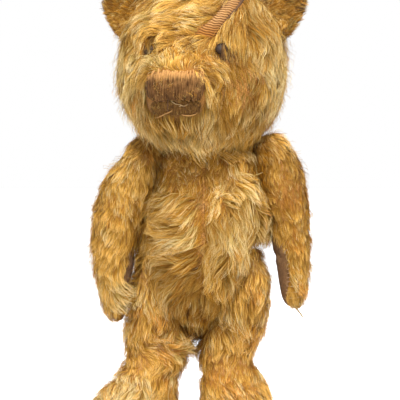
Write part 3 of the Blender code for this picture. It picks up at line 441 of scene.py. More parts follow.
def heldShare(name, sheet):
    # how firmly each point of the coarse grid is held, 0 to 1: at seams, ends, joint planes and the eyes
    a = np.arange(swell["columns"]) * full / swell["columns"]
    seamsAt = (math.pi, 0.5, full - 0.5) if name == "head" else (0.0, math.pi)
    seams = sum(np.exp(-(2 * np.sin((a - seam) / 2) / swell["seam"]) ** 2) for seam in seamsAt)
    v = np.linspace(0, 1, swell["rows"])
    ends = np.clip(np.maximum(0.1 - v, v - (0.72 if "arm" in name else 0.84)) / swell["end"], 0, 1)
    held = np.clip(np.maximum(seams[None, :], ends[:, None]), 0, 1)
    for point, normal, _ in forms[name]["presses"]:
        inside = (sheet["points"] - point) @ normal + swell["plane"][0]
        held = np.maximum(held, np.clip(inside / swell["plane"][1], 0, 1))
    for spot, _ in eyes.values():
        near = np.linalg.norm(sheet["points"] - spot, axis=-1)
        held = np.maximum(held, np.clip((swell["eye"][0] - near) / swell["eye"][1], 0, 1))
    return np.concatenate([held.ravel(), [1.0, 1.0]])


def swellCloth():
    # each skin's coarse grid is blown up by Blender's Cloth under pressure, where it isn't held;
    # what is kept is how far each point moved, never more than about the cap
    rows, columns, cap = swell["rows"], swell["columns"], swell["cap"]
    skins = {}
    for name, form in forms.items():
        sheet = formSheet(form, rows, columns)
        item = addObject("swelling_" + name, buildMesh("swelling_" + name, *closedGrid(sheet)))
        group = item.vertex_groups.new(name="held")
        tenths = np.round(heldShare(name, sheet) * swell["held"]).astype(int)
        for share in range(1, swell["held"] + 1):
            picked = np.nonzero(tenths == share)[0].tolist()
            if picked:
                group.add(picked, share / swell["held"], "REPLACE")
        cloth = item.modifiers.new("swell", "CLOTH")
        for key, value in swell["settings"].items():
            setattr(cloth.settings, key, value)
        cloth.settings.effector_weights.gravity = 0.0
        cloth.collision_settings.use_collision = False
        skins[name] = (item, sheet)
    for step in range(1, swell["steps"] + 1):
        bpy.context.scene.frame_set(step)
    graph = bpy.context.evaluated_depsgraph_get()
    for name, (item, sheet) in skins.items():
        swelled = item.evaluated_get(graph).to_mesh()
        spots = np.empty(len(swelled.vertices) * 3, np.float32)
        swelled.vertices.foreach_get("co", spots)
        spots = spots.reshape(-1, 3)[:rows * columns].reshape(rows, columns, 3) / mm + floorMiddle
        moved = spots - sheet["points"]
        far = np.linalg.norm(moved, axis=-1, keepdims=True) + 1e-6
        forms[name]["swell"] = moved * cap * np.tanh(far / cap) / far
        print("swelled", name, "by up to", round(float(far.max()), 1), "mm")
    bpy.context.scene.frame_set(1)
    for item, _ in skins.values():
        mesh = item.data
        bpy.data.objects.remove(item)
        bpy.data.meshes.remove(mesh)


swellCloth()
sheets = {name: formSheet(form, 220, 300) for name, form in forms.items()}
for legName in ("left_leg", "right_leg"):    # the pile's roots stay above the felt of the soles
    sheets[legName]["points"][..., 2] = np.maximum(sheets[legName]["points"][..., 2], 1.6)
print("cloth stuffed")


frontReach = 8.0      # only skin this far about the asked places is looked at


def onFront(skin, x, z, lift):
    # the skin behind each x and z: the mean of the near points that face the front, weighted by
    # exp(-(distance / 2)^2), raised by lift along their mean normal
    points, normals = sheets[skin]["points"].reshape(-1, 3), sheets[skin]["normals"].reshape(-1, 3)
    x, z, lift = np.broadcast_arrays(np.asarray(x, float), np.asarray(z, float), np.asarray(lift, float))
    near = normals[:, 1] < -0.1
    for axis, asked in ((0, x), (2, z)):
        near &= (points[:, axis] > asked.min() - frontReach) & (points[:, axis] < asked.max() + frontReach)
    points, normals = points[near].astype(np.float32), normals[near].astype(np.float32)
    found = []
    flat = np.stack([x.ravel(), z.ravel()], -1).astype(np.float32)
    for some in np.array_split(flat, max(1, len(flat) // 600)):
        gaps = ((some[:, None, :] - points[None, :, ::2]) ** 2).sum(-1)
        weight = np.exp(-(gaps - gaps.min(axis=1, keepdims=True)) / 4.0)
        weight /= weight.sum(axis=1, keepdims=True)
        found.append(np.concatenate([(weight @ points[:, 1])[:, None], weight @ normals], axis=1))
    found = np.concatenate(found)
    spots = np.stack([x.ravel(), found[:, 0], z.ravel()], -1) + unit(found[:, 1:]) * lift.ravel()[:, None]
    return spots.reshape(*x.shape, 3)


# fields over the skin


def wander(spots, size, seed):
    # a smooth random value, about -1 to 1: the mean of sine waves that run in many directions
    dice = np.random.default_rng(seed)
    count = 9
    ways = dice.normal(size=(count, 3))
    ways /= np.linalg.norm(ways, axis=1, keepdims=True)
    waves = spots @ ways.T * (full / size) * dice.uniform(0.6, 1.6, count) + dice.uniform(0, full, count)
    return np.sin(waves).mean(axis=1) * 1.9


def patch(at, reach, **changes):
    return {"at": at, "reach": reach, **changes}


def spread(spots, patches, key, base):
    # each patch pulls the value towards its own, by exp(-(distance / reach)^2.4)
    value = np.ones(spots.shape[:1] + np.shape(base)) * np.asarray(base, float)
    for place in patches:
        if key in place:
            distance = (((spots - place["at"]) / place["reach"]) ** 2).sum(axis=1)
            weight = np.exp(-distance ** 1.2) * place.get("pull", 1.0)
            weight = weight[:, None] if value.ndim == 2 else weight
            value = value * (1 - weight) + weight * np.asarray(place[key], float)
    return value


def nearest(spots, centres):
    # index of the nearest centre to each spot, a few thousand spots at a time
    found = []
    for part in np.array_split(spots.astype(np.float32), max(1, len(spots) // 4000)):
        gaps = (centres.astype(np.float32) ** 2).sum(1)[None, :] - 2 * part @ centres.astype(np.float32).T
        found.append(np.argmin(gaps, axis=1))
    return np.concatenate(found)


# the pile


def scatterRoots(sheet, count, thickAt, dice):
    # roots fall in the grid's cells in proportion to their area and to how thick the pile is there
    points = sheet["points"]
    if sheet["wrap"]:
        points = np.concatenate([points, points[:, :1]], axis=1)
    diagonalA, diagonalB = points[1:, 1:] - points[:-1, :-1], points[1:, :-1] - points[:-1, 1:]
    area = np.linalg.norm(np.cross(diagonalA, diagonalB), axis=-1) / 2
    centre = (points[1:, 1:] + points[:-1, :-1] + points[1:, :-1] + points[:-1, 1:]) / 4
    rows, columns = area.shape
    v, u = np.meshgrid((np.arange(rows) + 0.5) / rows, (np.arange(columns) + 0.5) / columns, indexing="ij")
    weight = area.ravel() * thickAt(centre.reshape(-1, 3), v.ravel(), u.ravel())
    total = np.cumsum(weight)
    picks = np.searchsorted(total, dice.uniform(0, total[-1], count))
    i, j = np.clip(picks // columns, 0, rows - 1), picks % columns
    s, t = dice.uniform(size=count)[:, None], dice.uniform(size=count)[:, None]
    root = (points[i, j] * (1 - s) * (1 - t) + points[i + 1, j] * s * (1 - t)
            + points[i, j + 1] * (1 - s) * t + points[i + 1, j + 1] * s * t)
    normals = sheet["normals"]
    return root, normals[i, j % normals.shape[1]]


def strandPaths(t, root, normal, way, shape):
    # a strand leaves its root at a slant, levels off, hugs the form, curves and waves sideways, and droops
    side = np.cross(normal, way)
    t = t[None, :, None]
    names = ("long", "lift", "wave", "phase", "droop", "curve", "hug")
    long, lift, wave, phase, droop, curve, hug = (shape[key][:, None, None] for key in names)
    run = long * (t * 0.7 + t * t * 0.3) * np.sqrt(np.maximum(1 - lift ** 2, 0.1))
    rise = lift * long * np.sin(t * 2.1) * 0.7 - hug * run ** 2
    swing = wave * (np.sin(full * 0.85 * t + phase) - np.sin(phase)) * t + curve * long * t ** 1.7
    path = root[:, None] + way[:, None] * run + normal[:, None] * rise + side[:, None] * swing
    path[..., 2] -= (droop * long * t ** 2)[..., 0]
    return path


def ribbons(path, normal, width, roll):
    # a flat ribbon follows each path: its width crosses the path, rolled about it, and tapers to a point;
    # its shading normal is the skin's, leaned towards the ribbon's own
    count, stations = path.shape[:2]
    tangent = unit(np.gradient(path, axis=1))
    flat = unit(np.cross(tangent, normal[:, None]))
    edge = flat * np.cos(roll)[:, None, None] + np.cross(tangent, flat) * np.sin(roll)[:, None, None]
    facing = unit(normal[:, None] + 0.55 * np.cross(edge, tangent) + 0.18 * tangent)
    t = np.linspace(0, 1, stations)[None, :]
    reach = width[:, None] * (0.75 + 0.6 * t - 1.1 * t ** 2) / 2
    left, right = path - edge * reach[..., None], path + edge * reach[..., None]
    pairs = np.stack([left[:, :-1], right[:, :-1]], axis=2).reshape(count, -1, 3)
    spots = np.concatenate([pairs, path[:, -1:]], axis=1)
    facing = np.concatenate([np.repeat(facing[:, :-1], 2, axis=1), facing[:, -1:]], axis=1)
    each = 2 * stations - 1
    pattern = []
    for k in range(stations - 2):
        pattern += [2 * k, 2 * k + 1, 2 * k + 3, 2 * k, 2 * k + 3, 2 * k + 2]
    pattern += [each - 3, each - 2, each - 1]
    corners = (np.arange(count)[:, None] * each + np.array(pattern)[None, :]).ravel()
    return spots, corners, facing


hueCount = 6
pileWidth = 0.003     # half of a strand's width on its map


def strandUv(hue, tone, stations):
    # across the map lie the hue bands, each dark to light by tone; up it, root to tip
    across = (hue + 0.06 + 0.88 * np.clip(tone, 0, 1)) / hueCount
    up = 0.02 + 0.96 * np.linspace(0, 1, stations)
    left = np.stack(np.broadcast_arrays((across - pileWidth)[:, None], up[None, :]), axis=-1)
    right = left + np.array([2 * pileWidth, 0.0])
    pairs = np.stack([left[:, :-1], right[:, :-1]], axis=2).reshape(len(hue), -1, 2)
    tip = (left[:, -1:] + right[:, -1:]) / 2
    return np.concatenate([pairs, tip], axis=1).reshape(-1, 2)


def pickHue(draw, hues):
    # the band where the running share of the hues passes the draw
    share = np.cumsum(hues / hues.sum(axis=1, keepdims=True), axis=1)
    return np.minimum((np.clip(draw, 0, 0.999)[:, None] > share).sum(axis=1), hueCount - 1)


# how a tuft, a lock and a strand differ from the one above: length, lift, phase and curve
stray = {"tuft": (0.22, 0.4, 0.1), "lock": (0.2, 0.4, 0.6, 0.1), "strand": (0.2, 0.3, 0.2, 0.05)}
gather = {"tuft": 18.0, "lock": 7.0}      # how far a tuft and a lock draw in what stands about them
looseBy = {"longBy": 1.15, "liftBy": 2.0, "clump": 0.2}
pileFloor = 0.6       # no strand goes below this height


def addPile(name, sheet, look, patches, count, seed, body, keep=None, sideOf=None):
    # strands stand in locks, and locks in tufts; each level leans towards its own middle strand
    dice = np.random.default_rng(seed)

    def thickAt(spots, v, u):
        thick = spread(spots, patches, "thick", look["thick"])
        thick = thick * (1 + look["frontBias"] * np.clip(-spots[:, 1] / 60, -1, 1))
        return thick * (keep(spots, v, u) if keep else 1.0)

    root, normal = scatterRoots(sheet, count, thickAt, dice)
    fields = ("long", "lift", "wave", "clump", "droop", "tone", "swirl", "curve", "hold", "hues", "way")
    base = {key: spread(root, patches, key, look[key]) for key in fields}
    way = unit(base["way"] - np.sum(base["way"] * normal, axis=1, keepdims=True) * normal)
    side = np.cross(normal, way)
    bend = base["swirl"] * (wander(root, 46.0, seed + 1) + 0.5 * wander(root, 19.0, seed + 2))
    way, side = (way * np.cos(bend)[:, None] + side * np.sin(bend)[:, None],
                 side * np.cos(bend)[:, None] - way * np.sin(bend)[:, None])
    across, along = look["radii"]
    hug = base["hold"] * ((1 - way[:, 2] ** 2) / (2 * across) + way[:, 2] ** 2 / (2 * along))

    # a strand joins the nearest lock on its own side, and a lock the nearest tuft
    key = root if sideOf is None else np.concatenate([root, 40.0 * sideOf(root)[:, None]], axis=1)
    lockCount, tuftCount = int(count / look["lockSize"]), int(count / look["tuftSize"])
    lockPick = dice.choice(count, lockCount, replace=False)
    tuftPick = dice.choice(lockPick, tuftCount, replace=False)
    lock = nearest(key, key[lockPick])
    tuftOfLock = nearest(key[lockPick], key[tuftPick])
    t = np.linspace(0.0, 1.0, look["stations"]) ** 0.9

    def grow(pick, bits):
        leaned = way[pick] * np.cos(bits["turn"])[:, None] + side[pick] * np.sin(bits["turn"])[:, None]
        shape = {"long": base["long"][pick] * bits["longBy"], "wave": base["wave"][pick] * bits["waveBy"],
                 "lift": np.clip(base["lift"][pick] * bits["liftBy"], 0.02, 0.95), "phase": bits["phase"],
                 "curve": base["curve"][pick] + bits["curve"], "droop": base["droop"][pick],
                 "hug": hug[pick]}
        return strandPaths(t, root[pick], normal[pick], leaned, shape)

    def draw(path, goal, strength, apart, reach):
        # the path closes in on the goal towards its tip, less where they are far apart
        pull = (strength * np.exp(-(apart / reach) ** 2))[:, None, None] * t[None, :, None] ** 1.3
        return path + (goal - path) * pull

    def jitter(bits, number, turn, long, lift, phase, curve):
        made = dict(bits)
        made["turn"] = bits["turn"] + dice.normal(0, turn, number)
        made["longBy"] = bits["longBy"] * dice.uniform(1 - long, 1 + long, number)
        made["liftBy"] = bits["liftBy"] * dice.uniform(1 - lift, 1 + lift, number)
        made["phase"] = bits["phase"] + dice.normal(0, phase, number)
        made["curve"] = bits["curve"] + dice.normal(0, curve, number)
        return made

    def pickOut(bits, places):
        return {part: value[places] for part, value in bits.items()}

    calm = {"turn": 0.0, "longBy": 1.0, "liftBy": 1.0, "curve": 0.0,
            "waveBy": dice.choice([-1.0, 1.0], tuftCount), "phase": dice.uniform(0, full, tuftCount)}
    tufts = jitter(calm, tuftCount, look["tuftTurn"], *stray["tuft"], look["tuftCurve"])
    tuftPath = grow(tuftPick, tufts)
    locks = jitter(pickOut(tufts, tuftOfLock), lockCount, look["lockTurn"], *stray["lock"])
    lockPath = grow(lockPick, locks)
    apart = np.linalg.norm(root[lockPick] - root[tuftPick][tuftOfLock], axis=1)
    strength = base["clump"][lockPick] * look["tuftPull"]
    lockPath = draw(lockPath, tuftPath[tuftOfLock], strength, apart, gather["tuft"])
    single = jitter(pickOut(locks, lock), count, look["strandTurn"], *stray["strand"])
    loose = dice.uniform(size=count) < look["loose"]
    for part in ("longBy", "liftBy"):
        single[part] = single[part] * np.where(loose, looseBy[part], 1.0)
    path = grow(np.arange(count), single)
    apart = np.linalg.norm(root - root[lockPick][lock], axis=1)
    strength = base["clump"] * dice.uniform(0.7, 1.1, count) * np.where(loose, looseBy["clump"], 1.0)
    path = draw(path, lockPath[lock], strength, apart, gather["lock"])
    path[..., 2] = np.maximum(path[..., 2], pileFloor)
    roll = np.clip(dice.normal(0, look["roll"], count), -1.1, 1.1)
    spots, corners, facing = ribbons(path, normal, look["width"] * dice.uniform(0.7, 1.3, count), roll)

    # some strands draw a hue of their own, and the rest share their lock's; the first few strands show
    # every hue at its darkest and lightest, so that each pile fills its whole map
    tuftDraw = 0.5 + 0.5 * wander(root[tuftPick], 26.0, seed + 5) + dice.normal(0, 0.12, tuftCount)
    lockDraw = tuftDraw[tuftOfLock] + dice.normal(0, 0.1, lockCount)
    own = dice.uniform(size=count) < look["ownHue"]
    hueDraw = np.where(own, dice.uniform(size=count), lockDraw[lock] + dice.normal(0, 0.03, count))
    hue = pickHue(hueDraw, base["hues"])
    paleTuft = dice.normal(0, 1.0, tuftCount)[tuftOfLock]
    pale = (0.5 * wander(root, 24.0, seed + 7) + paleTuft[lock]
            + dice.normal(0, 0.5, lockCount)[lock] + dice.normal(0, 0.4, count))
    tone = base["tone"] + look["toneSpread"] * pale
    sample = np.arange(2 * hueCount)
    hue[sample], tone[sample] = sample % hueCount, sample // hueCount
    uv = strandUv(hue, tone, look["stations"])[corners]
    item = addMesh(name, spots.reshape(-1, 3), corners, np.full(len(corners) // 3, 3), uv,
                   materials["mohairPile"], body, facing.reshape(-1, 3))
    return item


# materials

materials = {}


def newGroup(name, inputs, outputs):
    # inputs and outputs are (label, kind, value); kind is Float, Vector or Color
    group = bpy.data.node_groups.new(name, "ShaderNodeTree")
    for label, kind, value in inputs:
        socket = group.interface.new_socket(name=label, in_out="INPUT", socket_type="NodeSocket" + kind)
        if value is not None:
            socket.default_value = value
    for label, kind in outputs:
        group.interface.new_socket(name=label, in_out="OUTPUT", socket_type="NodeSocket" + kind)
    return group, group.nodes.new("NodeGroupInput").outputs, group.nodes.new("NodeGroupOutput").inputs


def node(tree, kind, **settings):
    made = tree.nodes.new("ShaderNode" + kind)
    for key, value in settings.items():
        if key == "inputs":
            for socket, amount in value.items():
                if isinstance(amount, bpy.types.NodeSocket):
                    tree.links.new(amount, made.inputs[socket])
                else:
                    made.inputs[socket].default_value = amount
        else:
            setattr(made, key, value)
    return made


def groupNode(tree, group, **inputs):
    made = tree.nodes.new("ShaderNodeGroup")
    made.node_tree = group
    for label, value in inputs.items():
        if isinstance(value, bpy.types.NodeSocket):
            tree.links.new(value, made.inputs[label])
        else:
            made.inputs[label].default_value = value
    return made.outputs


def rampNode(tree, source, stops):
    made = tree.nodes.new("ShaderNodeValToRGB")
    elements = made.color_ramp.elements
    while len(elements) > 1:
        elements.remove(elements[-1])
    elements[0].position, elements[0].color = stops[0][0], (*stops[0][1], 1.0)
    for position, colour in stops[1:]:
        elements.new(position).color = (*colour, 1.0)
    tree.links.new(source, made.inputs[0])
    return made.outputs[0]


def mathNode(tree, operation, *values, clamp=False):
    made = tree.nodes.new("ShaderNodeMath")
    made.operation, made.use_clamp = operation, clamp
    for place, value in enumerate(values):
        if isinstance(value, (int, float)):
            made.inputs[place].default_value = value
        else:
            tree.links.new(value, made.inputs[place])
    return made.outputs[0]


def times(tree, first, second):
    return mathNode(tree, "MULTIPLY", first, second)


def noiseNode(tree, place, scale, **settings):
    return node(tree, "TexNoise", inputs={"Vector": place, "Scale": scale, **settings}).outputs


def mixNode(tree, kind, amount, first, second):
    made = tree.nodes.new("ShaderNodeMix")
    made.data_type, made.blend_type = "RGBA", kind
    for place, value in ((0, amount), (6, first), (7, second)):
        if isinstance(value, (int, float)):
            made.inputs[place].default_value = value
        elif isinstance(value, tuple):
            made.inputs[place].default_value = (*value, 1.0)
        else:
            tree.links.new(value, made.inputs[place])
    return made.outputs[2]


def newMaterial(name, roughness=0.9, metallic=0.0, sheen=0.0, specular=0.3):
    # the material is kept in the table under its name
    material = materials[name] = bpy.data.materials.new(name)
    material.use_nodes = True
    tree = material.node_tree
    shader = tree.nodes["Principled BSDF"]
    for label, value in (("Roughness", roughness), ("Metallic", metallic), ("Sheen Weight", sheen),
                         ("Specular IOR Level", specular)):
        shader.inputs[label].default_value = value
    return tree, shader


def onMap(tree):
    return node(tree, "UVMap", uv_map="OFBake").outputs[0]


def onObject(tree):
    return node(tree, "TexCoord").outputs["Object"]


def soil(tree, colour, dirty, amount, dirt):
    return mixNode(tree, "MULTIPLY", times(tree, dirty, amount), colour, dirt)


def finishMaterial(tree, shader, colour, height, strength, distance):
    bump = {"Strength": strength, "Distance": distance, "Height": height}
    tree.links.new(node(tree, "Bump", inputs=bump).outputs[0], shader.inputs["Normal"])
    tree.links.new(colour, shader.inputs["Base Color"])


def weaveGroup():
    # two sets of threads that cross: the height of each is a sine across it, and they pass over by turns
    wanted = [("Place", "Vector", None), ("Warp", "Float", 60.0), ("Weft", "Float", 60.0)]
    group, given, result = newGroup("weave", wanted, [("Height", "Float"), ("Shade", "Color")])
    parts = node(group, "SeparateXYZ", inputs={0: given["Place"]}).outputs
    sines = []
    for part, label in ((parts[0], "Warp"), (parts[1], "Weft")):
        turn = times(group, part, times(group, given[label], full))
        sines.append(mathNode(group, "SINE", turn))
    checks = times(group, *sines)
    threads = mathNode(group, "MAXIMUM", *(mathNode(group, "ABSOLUTE", sine) for sine in sines))
    height = mathNode(group, "MULTIPLY_ADD", checks, 0.3, times(group, threads, 0.7))
    group.links.new(height, result["Height"])
    stops = [(0.25, (0.58, 0.50, 0.42)), (0.75, (1.12, 1.08, 1.04))]
    group.links.new(rampNode(group, height, stops), result["Shade"])
    return group


def wearGroup():
    # soft blotches of rubbing and dirt, each a noise pushed through a narrow range
    group, given, result = newGroup("wear", [("Place", "Vector", None), ("Size", "Float", 40.0)],
                                    [("Rubbed", "Float"), ("Dirty", "Float")])
    for label, low, high, finer in (("Rubbed", 0.5, 0.68, 1.0), ("Dirty", 0.52, 0.74, 2.3)):
        scale = times(group, given["Size"], finer)
        noise = noiseNode(group, given["Place"], scale, Detail=4.0, Roughness=0.6)["Fac"]
        ranged = {"Value": noise, "From Min": low, "From Max": high}
        group.links.new(node(group, "MapRange", inputs=ranged).outputs[0], result[label])
    return group


def fibreGroup():
    # matted fibres: fine noise, with a second noise that bends where it is read
    group, given, result = newGroup("fibre", [("Place", "Vector", None), ("Scale", "Float", 500.0)],
                                    [("Fibre", "Float")])
    broad = times(group, given["Scale"], 0.3)
    bend = noiseNode(group, given["Place"], broad)["Color"]
    moved = node(group, "VectorMath", operation="MULTIPLY_ADD",
                 inputs={0: bend, 1: (0.003, 0.003, 0.003), 2: given["Place"]}).outputs[0]
    fine = noiseNode(group, moved, given["Scale"], Detail=6.0, Roughness=0.7)["Fac"]
    group.links.new(fine, result["Fibre"])
    return group


weave, wear, fibre = weaveGroup(), wearGroup(), fibreGroup()

# the pile's hues, each from dark to light, at the tip
pileHues = {
    "honey": ((0.43, 0.22, 0.032), (0.97, 0.60, 0.160)),
    "cream": ((0.56, 0.35, 0.105), (1.00, 0.82, 0.450)),
    "amber": ((0.31, 0.130, 0.008), (0.72, 0.36, 0.045)),
    # a greyish hue that paints shade where it is heavy: on the head's cheek on the bear's right, the chin
    # and the backs of the ears
    "olive": ((0.32, 0.21, 0.055), (0.76, 0.56, 0.230)),
    "orange": ((0.48, 0.20, 0.022), (0.90, 0.46, 0.110)),
    "umber": ((0.075, 0.035, 0.012), (0.26, 0.135, 0.050)),
}
# what each hue is multiplied by along a strand, root to tip
strandShade = [(0.03, (0.38, 0.29, 0.10)), (0.35, (0.60, 0.49, 0.24)), (0.65, (0.92, 0.86, 0.72)),
               (0.88, (1.06, 1.08, 1.10))]


def pileMaterial():
    # hue and tone come from the strand's place across its map, and shade from root to tip up it
    tree, shader = newMaterial("mohairPile", roughness=0.62, specular=0.16)
    across, up, _ = node(tree, "SeparateXYZ", inputs={0: onMap(tree)}).outputs
    stops = []
    for band, (dark, light) in enumerate(pileHues.values()):
        stops += [((band + 0.02) / hueCount, dark), ((band + 0.98) / hueCount, light)]
    colour = mixNode(tree, "MULTIPLY", 1.0, rampNode(tree, across, stops), rampNode(tree, up, strandShade))
    tree.links.new(colour, shader.inputs["Base Color"])


def clothMaterial():
    # woven backing, rubbed pale and stained dark in soft blotches; "stain" darkens chosen places
    tree, shader = newMaterial("mohairBacking", roughness=0.95, sheen=0.1, specular=0.15)
    height, shade = groupNode(tree, weave, Place=onMap(tree), Warp=92.0, Weft=64.0)
    rubbed, dirty = groupNode(tree, wear, Place=onObject(tree), Size=34.0)
    colour = mixNode(tree, "MIX", rubbed, (0.40, 0.185, 0.042), (0.58, 0.33, 0.13))
    colour = mixNode(tree, "MIX", dirty, colour, (0.30, 0.125, 0.022))
    colour = mixNode(tree, "MULTIPLY", 1.0, colour, shade)
    stain = node(tree, "Attribute", attribute_name="stain").outputs["Color"]
    dark = node(tree, "SeparateColor", inputs={0: stain}).outputs[0]
    colour = mixNode(tree, "MIX", dark, colour, (0.10, 0.045, 0.014))
    finishMaterial(tree, shader, colour, height, 0.4, 0.0004)


def fibreMaterial(name, dark, light, scale, worn=None, rub=0.5, dirt=0.4, soiled=(0.6, 0.52, 0.42),
                  size=70.0, bump=0.4, **surface):
    # mottled fibres, rubbed towards the worn colour and soiled in soft blotches
    tree, shader = newMaterial(name, **surface)
    place = onObject(tree)
    fine = groupNode(tree, fibre, Place=place, Scale=scale)[0]
    rubbed, dirty = groupNode(tree, wear, Place=place, Size=size)
    colour = rampNode(tree, fine, [(0.3, dark), (0.7, light)])
    colour = mixNode(tree, "MIX", times(tree, rubbed, rub), colour, worn or light)
    finishMaterial(tree, shader, soil(tree, colour, dirty, dirt, soiled), fine, bump, bump * mm)


def stitchMaterial(name, dark, light, worn, wearAndHighlightFrom, fullness, stitches):
    # satin stitches side by side across the map: painted shade between them, pale towards the top edge from
    # wear and a painted highlight
    tree, shader = newMaterial(name, roughness=0.9, sheen=0.04, specular=0.1)
    across, up, _ = node(tree, "SeparateXYZ", inputs={0: onMap(tree)}).outputs
    place = onObject(tree)
    stretched = {0: times(tree, across, stitches), 1: times(tree, up, 2.5)}
    stretched = node(tree, "CombineXYZ", inputs=stretched).outputs[0]
    streaks = noiseNode(tree, stretched, 1.0, Detail=3.0, Roughness=0.6)["Fac"]
    fine = groupNode(tree, fibre, Place=place, Scale=800.0)[0]
    rubbed, dirty = groupNode(tree, wear, Place=place, Size=120.0)
    colour = rampNode(tree, streaks, [(0.32, dark), (0.68, light)])
    edge = node(tree, "MapRange", interpolation_type="SMOOTHSTEP",
                inputs={"Value": mathNode(tree, "MULTIPLY_ADD", streaks, 0.35, up),
                        "From Min": wearAndHighlightFrom, "From Max": wearAndHighlightFrom + 0.3}).outputs[0]
    pale = mathNode(tree, "MAXIMUM", times(tree, edge, fullness),
                    times(tree, rubbed, 0.22))
    colour = mixNode(tree, "MIX", pale, colour, worn)
    turn = times(tree, across, stitches * math.pi)
    gap = mathNode(tree, "ABSOLUTE", mathNode(tree, "SINE", turn))
    shade = rampNode(tree, gap, [(0.0, (0.45, 0.38, 0.33)), (0.45, (1.0, 1.0, 1.0))])
    colour = soil(tree, mixNode(tree, "MULTIPLY", 0.9, colour, shade), dirty, 0.5, (0.55, 0.45, 0.35))
    finishMaterial(tree, shader, colour, fine, 0.4, 0.0003)


def ribMaterial():
    # bald backing whose threads have drawn into ribs: painted shade between, tan on top, ochre where it is
    # lowest
    tree, shader = newMaterial("baldRibs", roughness=0.9, sheen=0.1, specular=0.15)
    place = onObject(tree)
    rib = node(tree, "Attribute", attribute_name="rib").outputs["Fac"]
    _, dirty = groupNode(tree, wear, Place=place, Size=80.0)
    fine = groupNode(tree, fibre, Place=place, Scale=900.0)[0]
    colour = rampNode(tree, rib, [(0.2, (0.075, 0.029, 0.006)), (0.55, (0.31, 0.145, 0.045)),
                                  (0.97, (0.56, 0.31, 0.125))])
    colour = mixNode(tree, "MIX", times(tree, dirty, 0.5), colour, (0.40, 0.19, 0.05))
    height = node(tree, "SeparateXYZ", inputs={0: place}).outputs[2]
    low = node(tree, "MapRange", inputs={"Value": height, "From Min": 0.412, "From Max": 0.400})
    colour = mixNode(tree, "MULTIPLY", low.outputs[0], colour, (0.78, 0.60, 0.30))
    mottle = rampNode(tree, fine, [(0.3, (0.6, 0.55, 0.5)), (0.65, (1.1, 1.1, 1.1))])
    finishMaterial(tree, shader, mixNode(tree, "MULTIPLY", 0.6, colour, mottle), fine, 0.4, 0.0003)


pileMaterial()
clothMaterial()
ribMaterial()
# the nose's pale top is partly rubbed wear and partly a painted highlight where its top catches the light
stitchMaterial("noseStitches", (0.050, 0.021, 0.006), (0.20, 0.090, 0.028), (0.66, 0.34, 0.11),
               wearAndHighlightFrom=0.72, fullness=0.85, stitches=38)
stitchMaterial("muzzleStitches", (0.070, 0.031, 0.006), (0.23, 0.110, 0.028), (0.38, 0.20, 0.055),
               wearAndHighlightFrom=1.3, fullness=0.4, stitches=34)
fibreMaterial("pawFelt", (0.100, 0.048, 0.018), (0.215, 0.112, 0.048), 900.0, worn=(0.33, 0.19, 0.085),
              rub=0.6, dirt=0.6, soiled=(0.5, 0.45, 0.4), size=90.0, bump=0.5,
              roughness=0.95, sheen=0.06, specular=0.1)
# dark and light colours, the scale of the fibres, and what sets a material apart from cloth
fibreLooks = {
    "darkThread": ((0.050, 0.022, 0.010), (0.16, 0.075, 0.03), 900.0, {}),
    "mouthThread": ((0.30, 0.14, 0.035), (0.60, 0.32, 0.10), 900.0, {}),
    "paleThread": ((0.36, 0.22, 0.09), (0.62, 0.44, 0.22), 900.0, {}),
    "feltThread": ((0.26, 0.14, 0.07), (0.48, 0.30, 0.17), 900.0, {}),
    "straw": ((0.26, 0.17, 0.05), (0.55, 0.42, 0.18), 500.0, {"roughness": 0.7}),
    "woodWool": ((0.35, 0.24, 0.11), (0.70, 0.54, 0.30), 300.0, {}),
    "hardboard": ((0.16, 0.09, 0.045), (0.32, 0.20, 0.11), 600.0, {}),
    "card": ((0.32, 0.25, 0.17), (0.50, 0.41, 0.29), 500.0, {}),
    "dullSteel": ((0.22, 0.20, 0.18), (0.50, 0.48, 0.46), 400.0,
                  {"roughness": 0.42, "metallic": 1.0, "worn": (0.30, 0.17, 0.10)}),
    "eyeGlass": ((0.010, 0.004, 0.0015), (0.030, 0.013, 0.004), 250.0,
                 {"roughness": 0.55, "sheen": 0.0, "worn": (0.06, 0.028, 0.010)}),
}
for label, (dark, light, scale, changes) in fibreLooks.items():
    fibreMaterial(label, dark, light, scale, **{"sheen": 0.1, **changes})
print("materials made")

# cloth skins


def addSkin(name, part, nodes, stains):
    # a quarter of the fine grid's points each way, stained where the patches say
    thinned = {key: sheets[part][key][::4, ::4] for key in ("points", "normals")}
    item = addSheet(name, thinned, materials["mohairBacking"], part)
    mesh = item.data
    spots = np.empty(len(mesh.vertices) * 3)
    mesh.vertices.foreach_get("co", spots)
    dark = spread(spots.reshape(-1, 3) / mm + floorMiddle, stains, "stain", 0.0)
    layer = mesh.attributes.new("stain", "FLOAT_COLOR", "POINT")
    colours = np.zeros((len(dark), 4), np.float32)
    colours[:, 0], colours[:, 3] = dark, 1.0
    layer.data.foreach_set("color", colours.ravel())
    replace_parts(item, *nodes)


skinStains = {"head": [patch((-24, -100, 328), (30, 30, 12), stain=0.85),
                       patch(eyes["left"][0], (8, 9, 13), stain=1.0),
                       patch(eyes["right"][0], (6, 9, 8), stain=0.9)]}
skins = {
    "body": ("body_cloth", ["body_left_half", "body_right_half", "body_stuffing"]),
    "head": ("head_cloth", ["head_gusset", "head_side_left", "head_side_right", "head_stuffing"]),
}
for sideName in ("left", "right"):
    for limb in ("arm", "leg"):
        covered = [limb + kind + sideName for kind in ("_outer_", "_inner_", "_stuffing_")]
        skins[sideName + "_" + limb] = (limb + "_cloth_" + sideName, covered)
for part, (name, nodes) in skins.items():
    addSkin(name, part, nodes, skinStains.get(part, ()))
print("cloth laid over the forms")
